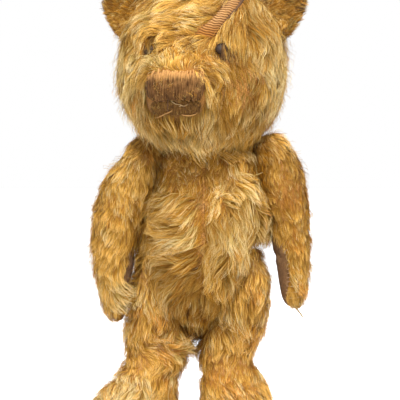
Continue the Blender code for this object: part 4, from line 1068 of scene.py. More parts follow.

# the body's pile; a hue row shares out honey, cream, amber, greyish olive, orange and umber

bodyLook = dict(way=(0.05, 0, -1), long=15.0, lift=0.26, wave=1.2, clump=0.62, tuftPull=1.3, droop=0.05,
                curve=0.0, hold=1.0, thick=1.0, frontBias=0.3, tone=0.5, toneSpread=0.36, swirl=0.3,
                hues=(4.5, 2.2, 2.2, 0.8, 0.3, 0), tuftTurn=0.17, lockTurn=0.1, strandTurn=0.07,
                tuftCurve=0.2, tuftSize=140, lockSize=9, loose=0.1, roll=0.5, width=0.37, ownHue=0.45,
                radii=(60.0, 75.0), stations=5)
bodyPatches = [
    # painted shade: the body's side beside its right arm, darker and more amber
    patch((-52, -36, 200), (14, 45, 60), way=(-0.6, 0, -0.8), long=12, tone=0.1,
          hues=(4, 1, 4, 0.5, 0.3, 0)),
    patch((-24, -58, 238), (30, 45, 18), way=(-1, 0, 0.3), curve=0.25, long=23, wave=2.8, swirl=0.22,
          tone=0.4, hues=(5, 2.4, 2.4, 0.4, 0.4, 0)),
    patch((-24, -60, 208), (32, 45, 20), way=(-1, 0, 0.2), curve=0.2, long=27, wave=3.2, swirl=0.22,
          tone=0.4, hues=(5, 2.8, 2.4, 0.5, 0.4, 0)),
    patch((-22, -60, 176), (34, 45, 19), way=(-1, 0, 0), curve=0.2, long=27, wave=3.2, swirl=0.2, tone=0.4,
          hues=(5, 2.8, 2.4, 0.5, 0.4, 0)),
    patch((-38, -46, 146), (24, 45, 16), way=(-0.7, 0, -0.9), curve=0.05, long=27, lift=0.42, hold=0.1,
          droop=0.25, tone=0.75, swirl=0.15, hues=(3.5, 4, 1.6, 1, 0.2, 0)),
    patch((28, -55, 244), (24, 40, 22), way=(0.12, 0, -1), long=18, wave=3, tone=0.6,
          hues=(3, 5, 0.9, 0.6, 0.2, 0)),
    patch((30, -55, 205), (26, 45, 26), way=(0, 0, -1), long=26, wave=3.6, tone=0.62, swirl=0.25,
          hues=(3.5, 4.5, 1.2, 0.6, 0.2, 0)),
    patch((18, -58, 224), (8, 30, 12), long=13, tone=0.45, hues=(4, 0.6, 4, 0, 0.6, 0)),
    patch((32, -55, 168), (28, 45, 20), way=(-0.1, 0, -1), long=26, wave=3, tone=0.6,
          hues=(4, 3.5, 1.8, 0.8, 0.2, 0)),
    patch((40, -40, 146), (20, 45, 16), way=(0.5, 0, -1), long=26, lift=0.42, hold=0.1, droop=0.25,
          tone=0.7, swirl=0.15, hues=(3.5, 3.6, 1.8, 1, 0.2, 0)),
    # painted shade: the belly's underside, and a dark crease band along its bottom edge above the legs
    patch((2, -52, 138), (34, 45, 15), way=(-0.1, 0, -1), long=21, lift=0.36, hold=0.5, tone=0.05,
          hues=(4, 1.8, 3, 1.4, 0.2, 0)),
    patch((0, -52, 129), (42, 50, 9), tone=0, hues=(3, 0.8, 4, 1.5, 0, 0.8)),
    # painted shade: the crotch between the legs, dark amber and umber
    patch((-3, -25, 106), (34, 60, 11), way=(0, 0, -1), long=14, hold=0.4, tone=0,
          hues=(1, 0, 3.4, 1, 0.2, 5)),
    patch((-8, -42, 266), (46, 40, 20), way=(0.05, 0, -1), long=6, tone=1, hues=(4, 0.6, 4, 0.3, 0.6, 0),
          lift=0.2),
    patch((34, -42, 264), (15, 40, 12), long=14, tone=0.55, hues=(3, 4.5, 1.5, 0.6, 0.2, 0)),
    patch((60, -32, 235), (12, 35, 24), way=(0.8, 0, -0.7), long=18, tone=0.6, hues=(3, 5, 1, 0.5, 0.2, 0)),
    # long fur over the right arm's inner edge, at the darkest tone: painted shade in the crease between arm
    # and body
    patch((-58, -20, 180), (12, 50, 30), way=(-0.9, 0, -0.5), long=19, lift=0.8, hold=0, thick=1.7, tone=0,
          hues=(4, 2, 3, 1, 0.3, 0)),
    patch((64, -8, 205), (14, 50, 20), way=(0.45, 0, -1), long=22, lift=0.4, hold=0.3, thick=1.5,
          hues=(3, 3, 2, 1.5, 0.2, 0)),
    patch((4, -60, 215), (5, 45, 60), long=5, thick=0.5, tone=0, hues=(2, 0, 4, 0.3, 0.2, 0.8)),
]


def addPiles(names, part, look, patches, counts, seed, keep, split=0.0, **settings):
    # a form's front pile, where y is below the split, and its plainer back pile
    for name, front, count, stations in zip(names, (True, False), counts, (look["stations"], 3)):
        addPile(name, sheets[part], dict(look, stations=stations), patches, count, seed + (not front), part,
                keep=lambda spots, v, u: keep(spots, v, u) * ((spots[:, 1] < split) == front), **settings)


def bodySide(spots):
    # the two halves of the body meet in a seam down the front
    return np.where(spots[:, 0] > 4.0, 1.0, -1.0)


addPiles(("body_pile_front", "body_pile_back"), "body", bodyLook, bodyPatches, (25000, 15000), 11,
         lambda spots, v, u: 1.0, sideOf=bodySide)
print("body furred")

# the head's pile

headLook = dict(bodyLook, way=(0, 0, -1), long=14.0, lift=0.28, wave=0.8, clump=0.52, toneSpread=0.32,
                droop=0.04, loose=0.14, tuftTurn=0.15, stations=4, ownHue=0.36,
                hues=(5, 2.4, 1.4, 0.9, 0.2, 0), radii=(76.0, 80.0))
headPatches = [
    patch((-25, -60, 420), (52, 60, 30), way=(-1, 0, -0.1), long=19, curve=-0.05, tone=0.9,
          hues=(6, 3, 1.5, 0.2, 0.2, 0)),
    patch((-8, -84, 400), (28, 40, 11), way=(-0.9, 0, 0.35), long=14, tone=1.15,
          hues=(6.5, 3, 0.6, 0, 0.3, 0)),
    # painted light: a small bright patch that lifts the forehead where the key lamp leaves it in shade
    patch((4, -76, 424), (13, 45, 13), way=(-1, 0, 0.1), long=16, tone=1.7, hues=(6, 4, 0, 0, 0, 0)),
    patch((52, -60, 406), (26, 45, 30), way=(0.25, 0, -1), long=21, wave=1.4, tone=0.3,
          hues=(3, 2.4, 3, 1.4, 0.3, 0.2)),
    patch((-56, -52, 388), (16, 40, 20), way=(-0.6, 0, -0.8), long=10, tone=0.1,
          hues=(4, 0.5, 4, 1.4, 0.2, 0.4)),
    patch((-20, -98, 372), (27, 30, 13), way=(-0.15, 0, 1), long=15, lift=0.6, wave=1.6, tone=0.95,
          hues=(9, 1.6, 1.2, 0, 0.5, 0)),
    patch((-44, -92, 370), (9, 30, 9), way=(-0.5, 0, 0.9), long=15, lift=0.5, tone=0.8,
          hues=(2, 7, 0, 0, 0, 0)),
    patch((8, -94, 366), (15, 30, 17), way=(0.55, 0, -0.75), long=15, lift=0.42, tone=0.7, clump=0.3,
          hues=(7, 3, 1.6, 0, 0.3, 0)),
    patch((-3, -100, 376), (4, 30, 10), way=(0, 0, 1), long=14, tone=0.7, hues=(3, 7, 0, 0, 0, 0)),
    patch((-13, -102, 370), (6, 20, 6.5), long=8, tone=0.3, hues=(0.3, 0, 3, 0, 6, 0)),
    patch((6, -94, 366), (5, 20, 6), long=6, tone=0.4, hues=(1, 0, 5, 0, 2, 0)),
    patch((42, -72, 348), (19, 40, 27), way=(0.2, 0, -1), long=7, thick=0.42, tone=0.08, lift=0.2,
          hues=(3.4, 0.6, 3.6, 2.6, 0.2, 0.4)),
    patch((24, -84, 336), (12, 40, 14), way=(0.5, 0, -1), long=12, tone=0.15,
          hues=(4, 1.4, 3.5, 0.5, 0.3, 0)),
    patch((74, -12, 355), (18, 60, 52), way=(0.1, 0, -1), long=17, tone=1.4,
          hues=(2, 8, 0.2, 1.4, 0, 0)),
    # painted shade: olive greys the cheek on the bear's right, the side that lies in shade
    patch((-66, -42, 350), (21, 60, 46), way=(-0.45, 0, -0.9), long=18, tone=1.15,
          hues=(1.4, 6, 0.3, 4.2, 0, 0)),
    # painted shade: olive greys the chin's hanging fur under the muzzle
    patch((-20, -72, 304), (50, 60, 22), way=(0.03, 0, -1), long=23, lift=0.4, droop=0.55, hold=0, wave=2,
          tone=0.66, hues=(2.3, 4.2, 1.2, 2.8, 0, 0)),
    # painted shadow: dark umber and olive just under the muzzle
    patch((-24, -88, 311), (28, 26, 9), long=13, droop=0.3, tone=0, hues=(2, 0, 3, 2.6, 0, 2)),
    # painted shade: olive greys the lower cheek on the bear's right
    patch((-62, -20, 304), (22, 55, 18), way=(-0.2, 0, -1), long=22, droop=0.6, hold=0.1, lift=0.35,
          tone=0.5, hues=(3, 3, 1.2, 3, 0, 0)),
    patch((46, -45, 303), (32, 60, 18), way=(0.1, 0, -1), long=17, lift=0.35, droop=0.5, hold=0.1,
          tone=0.48, hues=(3, 3, 1.8, 1.5, 0, 0)),
    patch(eyes["left"][0] + np.array([1, 0, 0]), (8, 12, 13), way=(-0.1, 0, -1), long=7, thick=0.8,
          tone=0.4, hues=(1, 0.4, 0.8, 0, 0, 5), pull=0.95),
    patch(eyes["right"][0] + np.array([-1, 0, -3]), (5, 12, 6), long=8, tone=0.5,
          hues=(1, 0.2, 1, 0.4, 0, 3)),
]
# no pile grows within these reaches of an eye, nor behind the nose and the darn
eyeBare = {"left": (3.6, 9.0, 6.5), "right": (1.2, 9.0, 1.2)}
noseBare = {"middle": (-23.8, 341.0), "half": (27.5, 20.0), "front": -60}


def headKeep(spots, v, u):
    across = np.abs((spots[:, 0] - noseBare["middle"][0]) / noseBare["half"][0])
    up = np.abs((spots[:, 2] - noseBare["middle"][1]) / noseBare["half"][1])
    kept = (across ** 4 + up ** 4 > 1) | (spots[:, 1] > noseBare["front"])
    for name, (spot, _) in eyes.items():
        kept = kept & ((((spots - spot) / np.array(eyeBare[name])) ** 2).sum(axis=1) > 1)
    s, t = stripPlace(spots[:, 0], spots[:, 2])
    bald = (s > -0.75) & (s < 1.0) & (t > 0.05) & (t < 1) & (spots[:, 1] < 0)
    return kept & ~bald


# the bald, ribbed strip beside the head's seam: left and right edges of the strip, by height
strip = {"bottom": 394.0, "top": 452.0,
         "heights": (394.0, 400.0, 406.0, 414.0, 424.0, 436.0, 452.0),
         "left": (-6.0, -5.0, 2.0, 12.0, 20.0, 25.0, 31.0),
         "right": (12.0, 19.0, 21.5, 27.0, 35.5, 43.5, 52.0),
         "ribs": 27, "height": 0.9, "lift": 0.3}


def stripEdges(z):
    return np.interp(z, strip["heights"], strip["left"]), np.interp(z, strip["heights"], strip["right"])


def stripPlace(x, z):
    # across the strip, -1 to 1, and up it, 0 to 1
    left, right = stripEdges(z)
    return (2 * x - left - right) / (right - left), (z - strip["bottom"]) / (strip["top"] - strip["bottom"])


addPiles(("head_pile_face", "head_pile_nape"), "head", headLook, headPatches, (27000, 16000), 21,
         headKeep, split=-15)


def addBrow(side, above, reach, count, seed, **look):
    # a small tuft of its own, rooted within reach of a point above an eye, that falls over it
    middle = eyes[side][0] + np.array(above)
    look = dict(headLook, droop=0.1, loose=0.0, swirl=0.0, **look)
    addPile("eye_tuft_" + side, sheets["head"], look, [], count, seed, "head",
            keep=lambda spots, v, u: (((spots - middle) / reach) ** 2).sum(axis=1) < 1.0)


addBrow("left", (-1.0, -1.0, 6.5), (5.4, 12.0, 6.5), 900, 25, way=(0.1, 0, -1), long=19.0, lift=0.62,
        hold=0.75, tone=0.2, toneSpread=0.2, hues=(0.6, 0, 1.2, 0.4, 0, 6), tuftCurve=0.03, tuftTurn=0.06,
        lockTurn=0.05)
addBrow("right", (1.5, -1.0, 9.0), (9.5, 12.0, 7.0), 1300, 27, way=(-0.15, 0, -1), long=18.0, lift=0.6,
        hold=0.8, tone=0.15, hues=(2, 0, 3, 1, 0, 2.5))
print("head furred")


def addStrip():
    # ribs run across the strip: each is the top of a sine up the strip, and bends a little as it crosses
    rows, columns = strip["ribs"] * 8 + 1, 26
    t, s = np.linspace(0, 1, rows)[:, None], np.linspace(-1, 1, columns)[None, :]
    z = strip["bottom"] + (strip["top"] - strip["bottom"]) * t - 2.2 * (1 - t) * s
    left, right = stripEdges(z)
    x = (left + right) / 2 + (right - left) / 2 * s
    turn = strip["ribs"] * t * math.pi + 0.5 * np.sin(3.1 * s + 9 * t) + 0.35 * np.sin(7.0 * s + 31 * t)
    rib = np.abs(np.sin(turn)) ** 0.8
    edge = np.clip((1 - np.abs(s)) / 0.25, 0, 1) * np.clip(t / 0.06, 0, 1) * np.clip((1 - t) / 0.06, 0, 1)
    top = onFront("head", x, z, strip["lift"] * edge + strip["height"] * rib * (0.3 + 0.7 * edge) - 0.1)
    item = addEnvelope("bald_strip", top, onFront("head", x, z, -0.9), materials["baldRibs"], "head")
    layer = item.data.attributes.new("rib", "FLOAT", "POINT")
    # the rib value paints shade between the ribs and at the strip's edges, and is darker towards the
    # strip's right side
    shade = (rib * (0.55 + 0.45 * edge) * (1 - 0.3 * np.clip(s + 0.2, 0, 1))).ravel()
    layer.data.foreach_set("value", np.concatenate([shade, shade * 0]).astype(np.float32))
    # the seam beside it, and the slit below, each a dark thread
    seamZ, slitZ = np.linspace(397.0, 451.0, 40), np.linspace(407.0, 393.0, 40)
    slitX = np.interp(slitZ, (393.0, 400.0, 407.0), (-45.5, -49.5, -54.5))
    paths = np.stack([onFront("head", stripEdges(seamZ)[1] + 0.8, seamZ, 0.5),
                      onFront("head", slitX, slitZ, 0.9)])
    radii = np.array([1.15, 0.7])
    addThreads("head_seam", paths, radii, materials["darkThread"], "head", 8, 2.2)


addStrip()
print("bald strip laid")

# nose, the worn stitches under it, and the mouth

nose = {"middle": (-23.5, 347.2), "half": (27.8, 14.2), "stitches": 38, "ridge": 0.55, "lift": 0.7,
        "crown": 5.2, "fray": 1.2, "spike": 4.5, "fuzz": 1100}
darn = {"middle": (-23.5, 327.0), "half": (24.5, 7.6), "stitches": 34, "ridge": 0.32, "lift": 0.1,
        "crown": 0.8, "fray": 0.6, "spike": 0.0, "fuzz": 900}
fuzzLook = dict(headLook, way=(0.1, 0, -1), long=2.8, lift=0.5, wave=0.5, clump=0.35, hold=0.0,
                frontBias=0.0, hues=(0, 0, 1.2, 0.8, 0, 6), tone=0.75, swirl=0.9, strandTurn=0.5,
                tuftSize=40, lockSize=5, width=0.24, stations=3)


def addStitches(name, look, material, seed):
    # upright satin stitches: each is a half-round ridge across s, on a crowned patch with a rounded
    # outline; their ends are uneven, and one by the right corner stands up by the spike
    dice = np.random.default_rng(seed)
    each = 6
    columns, rows = look["stitches"] * each + 1, 21
    s, t = np.linspace(-1, 1, columns)[None, :], np.linspace(-1, 1, rows)[:, None]
    place = np.arange(columns) / each
    number = np.minimum(place.astype(int), look["stitches"] - 1)
    frayTop, frayLow = (dice.normal(0, look["fray"], look["stitches"])[number] for _ in range(2))
    outline = look["half"][1] * (1.0001 - np.abs(s) ** 5) ** 0.28
    z = look["middle"][1] + outline * t + np.where(t > 0, frayTop, frayLow) * np.abs(t) ** 2
    z = z + look["spike"] * np.exp(-((s - 0.85) / 0.05) ** 2) * np.clip(t, 0, 1) ** 2
    x = look["middle"][0] + look["half"][0] * s * (1 + 0.03 * t) + 0.35 * np.sin(5 * t + 3 * number * 0.7)
    crown = np.clip((1 - np.abs(s) ** 5) * (1 - np.abs(t) ** 5), 0, 1)
    ridge = np.sqrt(np.clip(1 - (2 * (place - number) - 1) ** 2, 0, 1))[None, :]
    sunk = dice.uniform(0.6, 1.1, look["stitches"])[number][None, :]
    lift = (look["lift"] + look["crown"] * crown ** 0.6 * (1 - 0.35 * np.clip(-t, 0, 1) ** 2)
            + look["ridge"] * ridge * sunk - 0.9 * (1 - crown ** 0.3))
    item = addEnvelope(name, onFront("head", x, z, lift), onFront("head", x, z, -1.6), material, "head")
    middle = np.array([look["middle"][0], 0.0, look["middle"][1]])
    front = makeSheet(onFront("head", x[::2, ::4], z[::2, ::4], lift[::2, ::4]), False, middle)
    addPile(name.replace("stitches", "fuzz"), front, fuzzLook, [], look["fuzz"], seed + 7, "head")
    return item


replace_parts(addStitches("nose_stitches", nose, materials["noseStitches"], 61), "nose")
addStitches("muzzle_stitches", darn, materials["muzzleStitches"], 62)


def headThread(xs, zs, lift, stations=40):
    t = np.linspace(0, 1, stations)
    known = np.linspace(0, 1, len(xs))
    return onFront("head", np.interp(t, known, xs), np.interp(t, known, zs),
                   np.interp(t, np.linspace(0, 1, len(lift)), lift))


def addHeadThreads(name, threads, radii, material):
    # each thread is its points' x, its points' z, and how far it lifts off the skin from end to end
    paths = np.stack([headThread(*points) for points in threads])
    item = addThreads(name, paths, np.array(radii), materials[material], "head", 8, 2.6)
    return item


mouth = [((-46.5, -44, -39, -34, -29, -26.5), (318.5, 318.0, 319.0, 321.2, 323.6, 325.0),
          (0.2, 1.5, 1.6, 1.5, 0.9)),
         ((-17.5, -14, -9, -5, -2.5), (320.8, 320.2, 320.2, 321.2, 322.5), (0.6, 1.5, 1.6, 1.2, 0.2))]
looseThreads = [((-29.0, -26, -23, -20, -17), (335.0, 332.6, 331.0, 330.6, 329.6),
                 (0.8, 1.3, 1.5, 1.4, 0.8)),
                ((-20.0, -17.4, -15, -12.6, -11.4), (328.6, 329.6, 329.2, 330.2, 331.0),
                 (0.8, 1.5, 1.6, 1.5, 0.9))]
mouthLine = [((-29.5, -30.4, -30.6, -30.0), (338.0, 333.0, 328.0, 323.0), (0.9, 0.9, 0.9, 0.8))]
item = addHeadThreads("mouth_threads", mouth, (0.6, 0.55), "mouthThread")
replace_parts(item, "mouth_stitches")
addHeadThreads("loose_muzzle_threads", looseThreads, (0.36, 0.32), "paleThread")
addHeadThreads("mouth_line", mouthLine, (0.7,), "darkThread")
print("nose and mouth stitched")

# ears

earLook = dict(headLook, long=8.0, lift=0.3, tone=0.05, hues=(3, 0.5, 3.6, 1.6, 0.2, 1.6), stations=3,
               radii=(60.0, 90.0))
ear = {"halfWidth": 25.0, "height": 37.0, "thick": 3.4, "cup": 9.0, "angle": 1.06, "place": 0.53,
       "bend": 82.0, "out": 1.6, "way": (0.79, 0.61), "strands": 3600}


def earSheet(side):
    # closed flattened loops from the root, sunk in the head, to the rim: x = W cos(e)^0.9 sin(a),
    # y = H sin(e), thickness T cos(a)^0.6 cos(e)^0.6, hollowed at the front by the cup
    outwards, forwards = np.array([side * ear["way"][0], ear["way"][1], 0.0]), np.array([0.0, 0.0, 1.0])
    e = np.linspace(-0.1, math.pi / 2 - 0.03, 44)[:, None]
    a = np.linspace(0, full, 80, endpoint=False)[None, :]
    across = np.cos(e) ** 0.9 * np.sin(a)
    up = np.broadcast_to(np.sin(e), across.shape)
    cup = -ear["cup"] * (1 - across ** 2) * np.clip(up, 0, 1) * np.clip(1.1 - across ** 2 - up ** 2, 0, 2)
    lift = ear["thick"] * np.sign(np.cos(a)) * np.abs(np.cos(a)) ** 0.6 * np.cos(e) ** 0.6
    # its root follows the head's own section, off the crown by this angle
    angle = side * (ear["angle"] - ear["halfWidth"] * across / ear["bend"])
    section = sectionAt(forms["head"], np.full_like(angle, ear["place"]))
    along, sideways, depth, width, front, back, turn = np.moveaxis(section, -1, 0)
    power = 2.0 / roundness
    root = np.stack([sideways + width * np.sign(np.sin(angle)) * np.abs(np.sin(angle)) ** power,
                     depth + front * np.abs(np.cos(angle)) ** power, along], -1) + outwards * ear["out"]
    grown = (ear["height"] * up)[..., None] * outwards
    points = placeHead(root + grown + (cup + lift)[..., None] * forwards)
    return makeSheet(points, True, points.mean(axis=1, keepdims=True))


def addEar(sideName, side):
    sheet = earSheet(side)
    piece = addSheet("ear_cloth_" + sideName, sheet, materials["mohairBacking"], "head")
    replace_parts(piece, "ear_" + sideName)
    look = dict(earLook, way=np.array([side * 0.75, 0.0, 0.45]))
    addPile("ear_front_pile_" + sideName, sheet, look, [], ear["strands"], 31 + side, "head",
            keep=lambda spots, v, u: np.cos(full * u) > -0.05)
    # painted shade: the ear's back pile is greyer and darker than its front
    look.update(hues=(1, 0.8, 0.8, 5, 0, 1.5), tone=0.3)
    addPile("ear_back_pile_" + sideName, sheet, look, [], ear["strands"], 35 + side, "head",
            keep=lambda spots, v, u: np.cos(full * u) <= -0.05)


for sideName, side in (("left", 1), ("right", -1)):
    addEar(sideName, side)
print("ears furred")

# arms

armLook = dict(bodyLook, tone=0.62, way=(0, 0, -1), long=12.0, lift=0.25, wave=0.8, clump=0.45,
               toneSpread=0.2, tuftTurn=0.12, tuftCurve=0.1, stations=4, ownHue=0.3, swirl=0.4, droop=0.03,
               hues=(8, 1.2, 1.2, 0.2, 0.3, 0), radii=(26.0, 300.0))
rightArmPatches = [
    patch((-70, -25, 275), (26, 45, 24), way=(-0.5, 0, -1), long=14, tone=0.75,
          hues=(7, 1.2, 1.6, 0.3, 0.2, 0)),
    patch((-90, -25, 226), (24, 45, 18), way=(-0.4, 0, -1), long=10, thick=0.8, tone=0.8,
          hues=(6, 1.4, 1.2, 0.2, 1.2, 0)),
    patch((-88, -25, 192), (22, 45, 20), way=(-0.25, 0, -1), long=15, tone=0.95,
          hues=(8, 2, 1, 0.1, 0.1, 0)),
    patch((-104, 0, 182), (9, 45, 16), way=(-0.9, 0, -0.7), long=16, lift=0.45, tone=0.6),
    patch((-84, -25, 152), (22, 50, 17), way=(0.2, 0, -1), long=14, tone=1.35,
          hues=(6, 4.4, 0.4, 0, 0.2, 0)),
    patch((-77, -30, 146), (8, 40, 15), way=(1, -0.1, -0.15), long=24, hold=0, lift=0.3, thick=1.8,
          clump=0.75, tone=0.95, hues=(3, 6, 0.6, 0, 0.2, 0)),
    # painted shade: the arm's inner edge against the body, at the darkest tone with umber
    patch((-62, -25, 190), (9, 40, 48), tone=0, hues=(2, 0, 4, 2, 0, 1)),
    patch((-78, -15, 120), (18, 40, 10), long=6, thick=0.5, tone=0.42, hues=(5, 1, 3, 0.3, 0.6, 0)),
]
leftArmPatches = [
    patch((78, -25, 288), (26, 40, 15), way=(0.6, -0.1, -0.8), long=12, tone=0.5,
          hues=(4, 4, 1.6, 0.6, 0.3, 0)),
    patch((88, -28, 248), (22, 45, 28), way=(0.3, 0, -1), long=5.5, thick=0.55, tone=0.05, lift=0.24,
          hues=(4, 0.6, 3.2, 0.5, 1.6, 0)),
    # painted shade: the arm's inner edge against the body, at the darkest tone with umber
    patch((62, -25, 258), (8, 40, 34), tone=0, hues=(2, 0, 4, 1, 1, 1)),
    patch((95, -22, 206), (20, 45, 20), way=(0.3, 0, -1), long=9, tone=0.5, hues=(7, 1.2, 2, 0.1, 0.5, 0)),
    patch((102, -18, 165), (12, 45, 28), long=11, tone=0.62, hues=(7, 2, 1.4, 0, 0.4, 0)),
    patch((98, -10, 132), (14, 40, 8), way=(0.5, 0, -1), long=13, tone=0.6, hues=(3, 5, 1, 0.6, 0, 0)),
]
# the paw's pad: its middle and half size down and round the arm, and the stitches across its edge
pad = {"middle": (0.775, 1.5 * math.pi + 0.1), "half": (0.205, 1.42), "lift": 0.6, "thick": 1.3,
       "top": 22, "under": 10, "stitches": 58, "bare": 1.02}
# what stitches round a felt edge share: how many points each has, and the thread's radius
edgeStitch = {"stations": 7, "radius": 0.34, "sides": 5}


def padSpot(rho, phi):
    (v, a), (halfV, halfA) = pad["middle"], pad["half"]
    return v + halfV * rho * np.cos(phi), a + halfA * rho * np.sin(phi)


def pawKeep(spots, v, u):
    # the pile stops at the pad's edge
    (middleV, middleA), (halfV, halfA) = pad["middle"], pad["half"]
    return ((v - middleV) / halfV) ** 2 + ((full * u - middleA) / halfA) ** 2 > pad["bare"]


for sideName, patches, counts, seed in (("right", rightArmPatches, (11500, 7500), 41),
                                        ("left", leftArmPatches, (11000, 7500), 43)):
    addPiles(("arm_pile_front_" + sideName, "arm_pile_back_" + sideName), sideName + "_arm", armLook,
             patches, counts, seed, pawKeep)
print("arms furred")


def raised(part, v, a, lift):
    # the form's point at (v, a), raised along its normal, which is the cross product of its two slopes
    form = forms[part]
    spots = formPoints(form, v, a)
    normal = np.cross(formPoints(form, v + 0.004, a) - formPoints(form, v - 0.004, a),
                      formPoints(form, v, a + 0.01) - formPoints(form, v, a - 0.01))
    middle = formPoints(form, v, a + math.pi)
    normal = unit(normal) * np.sign(np.sum(normal * (spots - middle), axis=-1, keepdims=True))
    return spots + normal * lift[..., None]


def addEdgeStitches(name, paths, part):
    radius, sides = edgeStitch["radius"], edgeStitch["sides"]
    addThreads(name, paths, radius, materials["feltThread"], part, sides)


def ringSizes(growing, shrinking):
    # the sizes of rings that grow from the middle to the edge and shrink again, and which of them grow
    rho = np.concatenate([np.linspace(0.03, 1.0, growing), np.linspace(1.0, 0.03, shrinking)])[:, None]
    return rho, (np.arange(growing + shrinking) < growing)[:, None]


def addFelt(name, points, normals, part, replaced):
    piece = addSheet(name, {"points": points, "normals": normals}, materials["pawFelt"], part)
    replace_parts(piece, replaced)


def stitchPlaces(count):
    # each stitch's turn round the edge, and how far along it each of its points is, -1 to 1
    return (np.arange(count) * full / count)[:, None], np.linspace(-1, 1, edgeStitch["stations"])[None, :]


def addPad(sideName):
    # a felt oval on the paw: rings grow from its middle to its edge over the top, and shrink again under it
    part = sideName + "_arm"
    rho, upper = ringSizes(pad["top"], pad["under"])
    phi = np.linspace(0, full, 96, endpoint=False)[None, :]
    crown = pad["lift"] + pad["thick"] * (1 - rho ** 8) ** 0.5 * (0.8 + 0.2 * np.cos(rho * 2.2))
    place = padSpot(rho, phi)
    lift = np.broadcast_to(np.where(upper, crown, -0.5), place[0].shape)
    points = raised(part, *place, lift)
    normals = unit(np.cross(np.gradient(points, axis=0), np.roll(points, -1, 1) - np.roll(points, 1, 1)))
    outwards = raised(part, *place, lift + 1) - points
    if np.sum((normals * outwards)[:pad["top"] - 2]) < 0:
        normals = -normals
    addFelt("paw_felt_" + sideName, points, normals, part, "paw_pad_" + sideName)
    turn, t = stitchPlaces(pad["stitches"])
    high = 0.3 + 1.3 * (1 - t ** 2) ** 0.5 * np.where(t < 0, 1.0, 0.8)
    place = padSpot(1.0 + 0.075 * t, turn + 0.02 * t)
    paths = raised(part, *place, np.broadcast_to(high, place[0].shape))
    addEdgeStitches("paw_stitches_" + sideName, paths, part)


for sideName in ("left", "right"):
    addPad(sideName)
print("paw pads sewn on")

# legs

legLook = dict(bodyLook, tone=1.2, way=(0, 0, -1), long=12.0, lift=0.28, wave=1.4, clump=0.5,
               toneSpread=0.26, tuftTurn=0.18, tuftCurve=0.16, stations=4, ownHue=0.3, droop=0.03,
               hues=(7, 1.8, 0.8, 0, 1.2, 0), swirl=0.4, radii=(32.0, 300.0))
rightLegPatches = [
    patch((-42, -38, 118), (24, 40, 12), way=(0.2, 0, -1), hues=(4, 0.8, 1.8, 0.1, 4.4, 0), tone=1),
    patch((-45, -38, 95), (34, 50, 26), way=(0.3, 0, -0.9), swirl=0.9, wave=2.4, long=14, tone=1.35,
          hues=(6.5, 2.6, 0.4, 0, 1.7, 0)),
    patch((-14, -30, 92), (14, 45, 14), way=(1, 0, -0.35), long=19, hold=0.5, tone=1.15,
          hues=(4, 5, 0.5, 0, 0.4, 0)),
    # painted shadow: a narrow dark band across the thigh's top, under the belly
    patch((-26, -45, 115), (34, 45, 5.5), tone=0, hues=(1.4, 0, 4, 0, 2, 3)),
    # painted shade: the inner thigh by the crotch, dark umber
    patch((-12, -5, 106), (10, 40, 15), way=(0.5, 0, -1), long=16, hold=0.2, thick=1.4, tone=0,
          hues=(1, 0, 4, 1, 0, 3)),
    patch((-62, -55, 35), (50, 70, 28), swirl=0.8, way=(-0.35, -0.5, -0.75), long=16, tone=1.9,
          hues=(4.5, 6, 0.1, 0.1, 0.7, 0)),
    patch((-70, -15, 150), (13, 60, 34), way=(-0.9, 0, -0.4), long=15, lift=0.8, hold=0, thick=1.5,
          tone=0.4, hues=(4, 1, 3, 1, 0.5, 0)),
]
leftLegPatches = [
    patch((30, -35, 118), (36, 50, 28), way=(0.05, 0, -1), long=19, tone=1, hues=(6, 2.4, 1, 0.2, 1.2, 0)),
    # painted shadow: a narrow dark band across the thigh's top, under the belly
    patch((18, -45, 116), (20, 45, 6), tone=0, hues=(1.4, 0, 4, 0, 1.5, 3)),
    patch((48, -35, 136), (10, 45, 14), tone=0.1, hues=(3, 0.6, 4, 1, 1, 0.6)),
    # painted shade: the inner thigh by the crotch, dark umber
    patch((6, -5, 106), (10, 40, 15), way=(-0.5, 0, -1), long=16, hold=0.2, thick=1.4, tone=0,
          hues=(1, 0, 4, 1, 0, 3)),
    patch((28, -30, 78), (36, 50, 11), way=(0.1, 0, -1), long=6.5, tone=1.55, hues=(6, 0, 3, 0, 1.8, 0)),
    patch((36, -55, 42), (38, 70, 24), way=(0.1, -0.4, -0.85), long=11, tone=1.5,
          hues=(7.5, 2.2, 0.7, 0, 0.5, 0)),
]
for sideName, patches, counts, seed in (("right", rightLegPatches, (14000, 7500), 51),
                                        ("left", leftLegPatches, (13500, 7500), 53)):
    addPiles(("leg_pile_front_" + sideName, "leg_pile_back_" + sideName), sideName + "_leg", legLook,
             patches, counts, seed, lambda spots, v, u: spots[:, 2] > 3.0)
print("legs furred")

sole = {"under": 26, "over": 8, "low": 0.25, "high": 2.2, "round": 0.9, "quilt": 0.15, "stitches": 96}


def addSole(sideName):
    # a felt sole under the card: rings of the foot's outline grow under it and shrink again over it
    part = sideName + "_leg"
    a = np.linspace(0, full, 120, endpoint=False)
    outline = formPoints(forms[part], 0.999, a)
    middle = outline.mean(axis=0)
    rho, under = ringSizes(sole["under"], sole["over"])
    rounded = sole["round"] * np.clip((rho - 0.9) / 0.1, 0, 1) ** 2
    quilt = sole["quilt"] * (1 + np.sin(9 * a + 14 * rho)) * (1 - rho ** 4)
    points = middle + (outline - middle)[None, :] * rho[..., None]
    points[..., 2] = np.where(under, sole["low"] + rounded + quilt, sole["high"])
    normals = np.zeros_like(points)
    normals[..., 2] = np.where(under, -1.0, 1.0)
    addFelt("foot_felt_" + sideName, points, normals, part, "foot_pad_" + sideName)
    turn, t = stitchPlaces(sole["stitches"])
    out = formPoints(forms[part], 0.999, turn + 0.012 * t)
    paths = middle + (out - middle) * (1.0 + 0.012 * (1 - t ** 2))[..., None]
    paths[..., 2] = 2.4 + 1.7 * t
    addEdgeStitches("foot_stitches_" + sideName, paths, part)


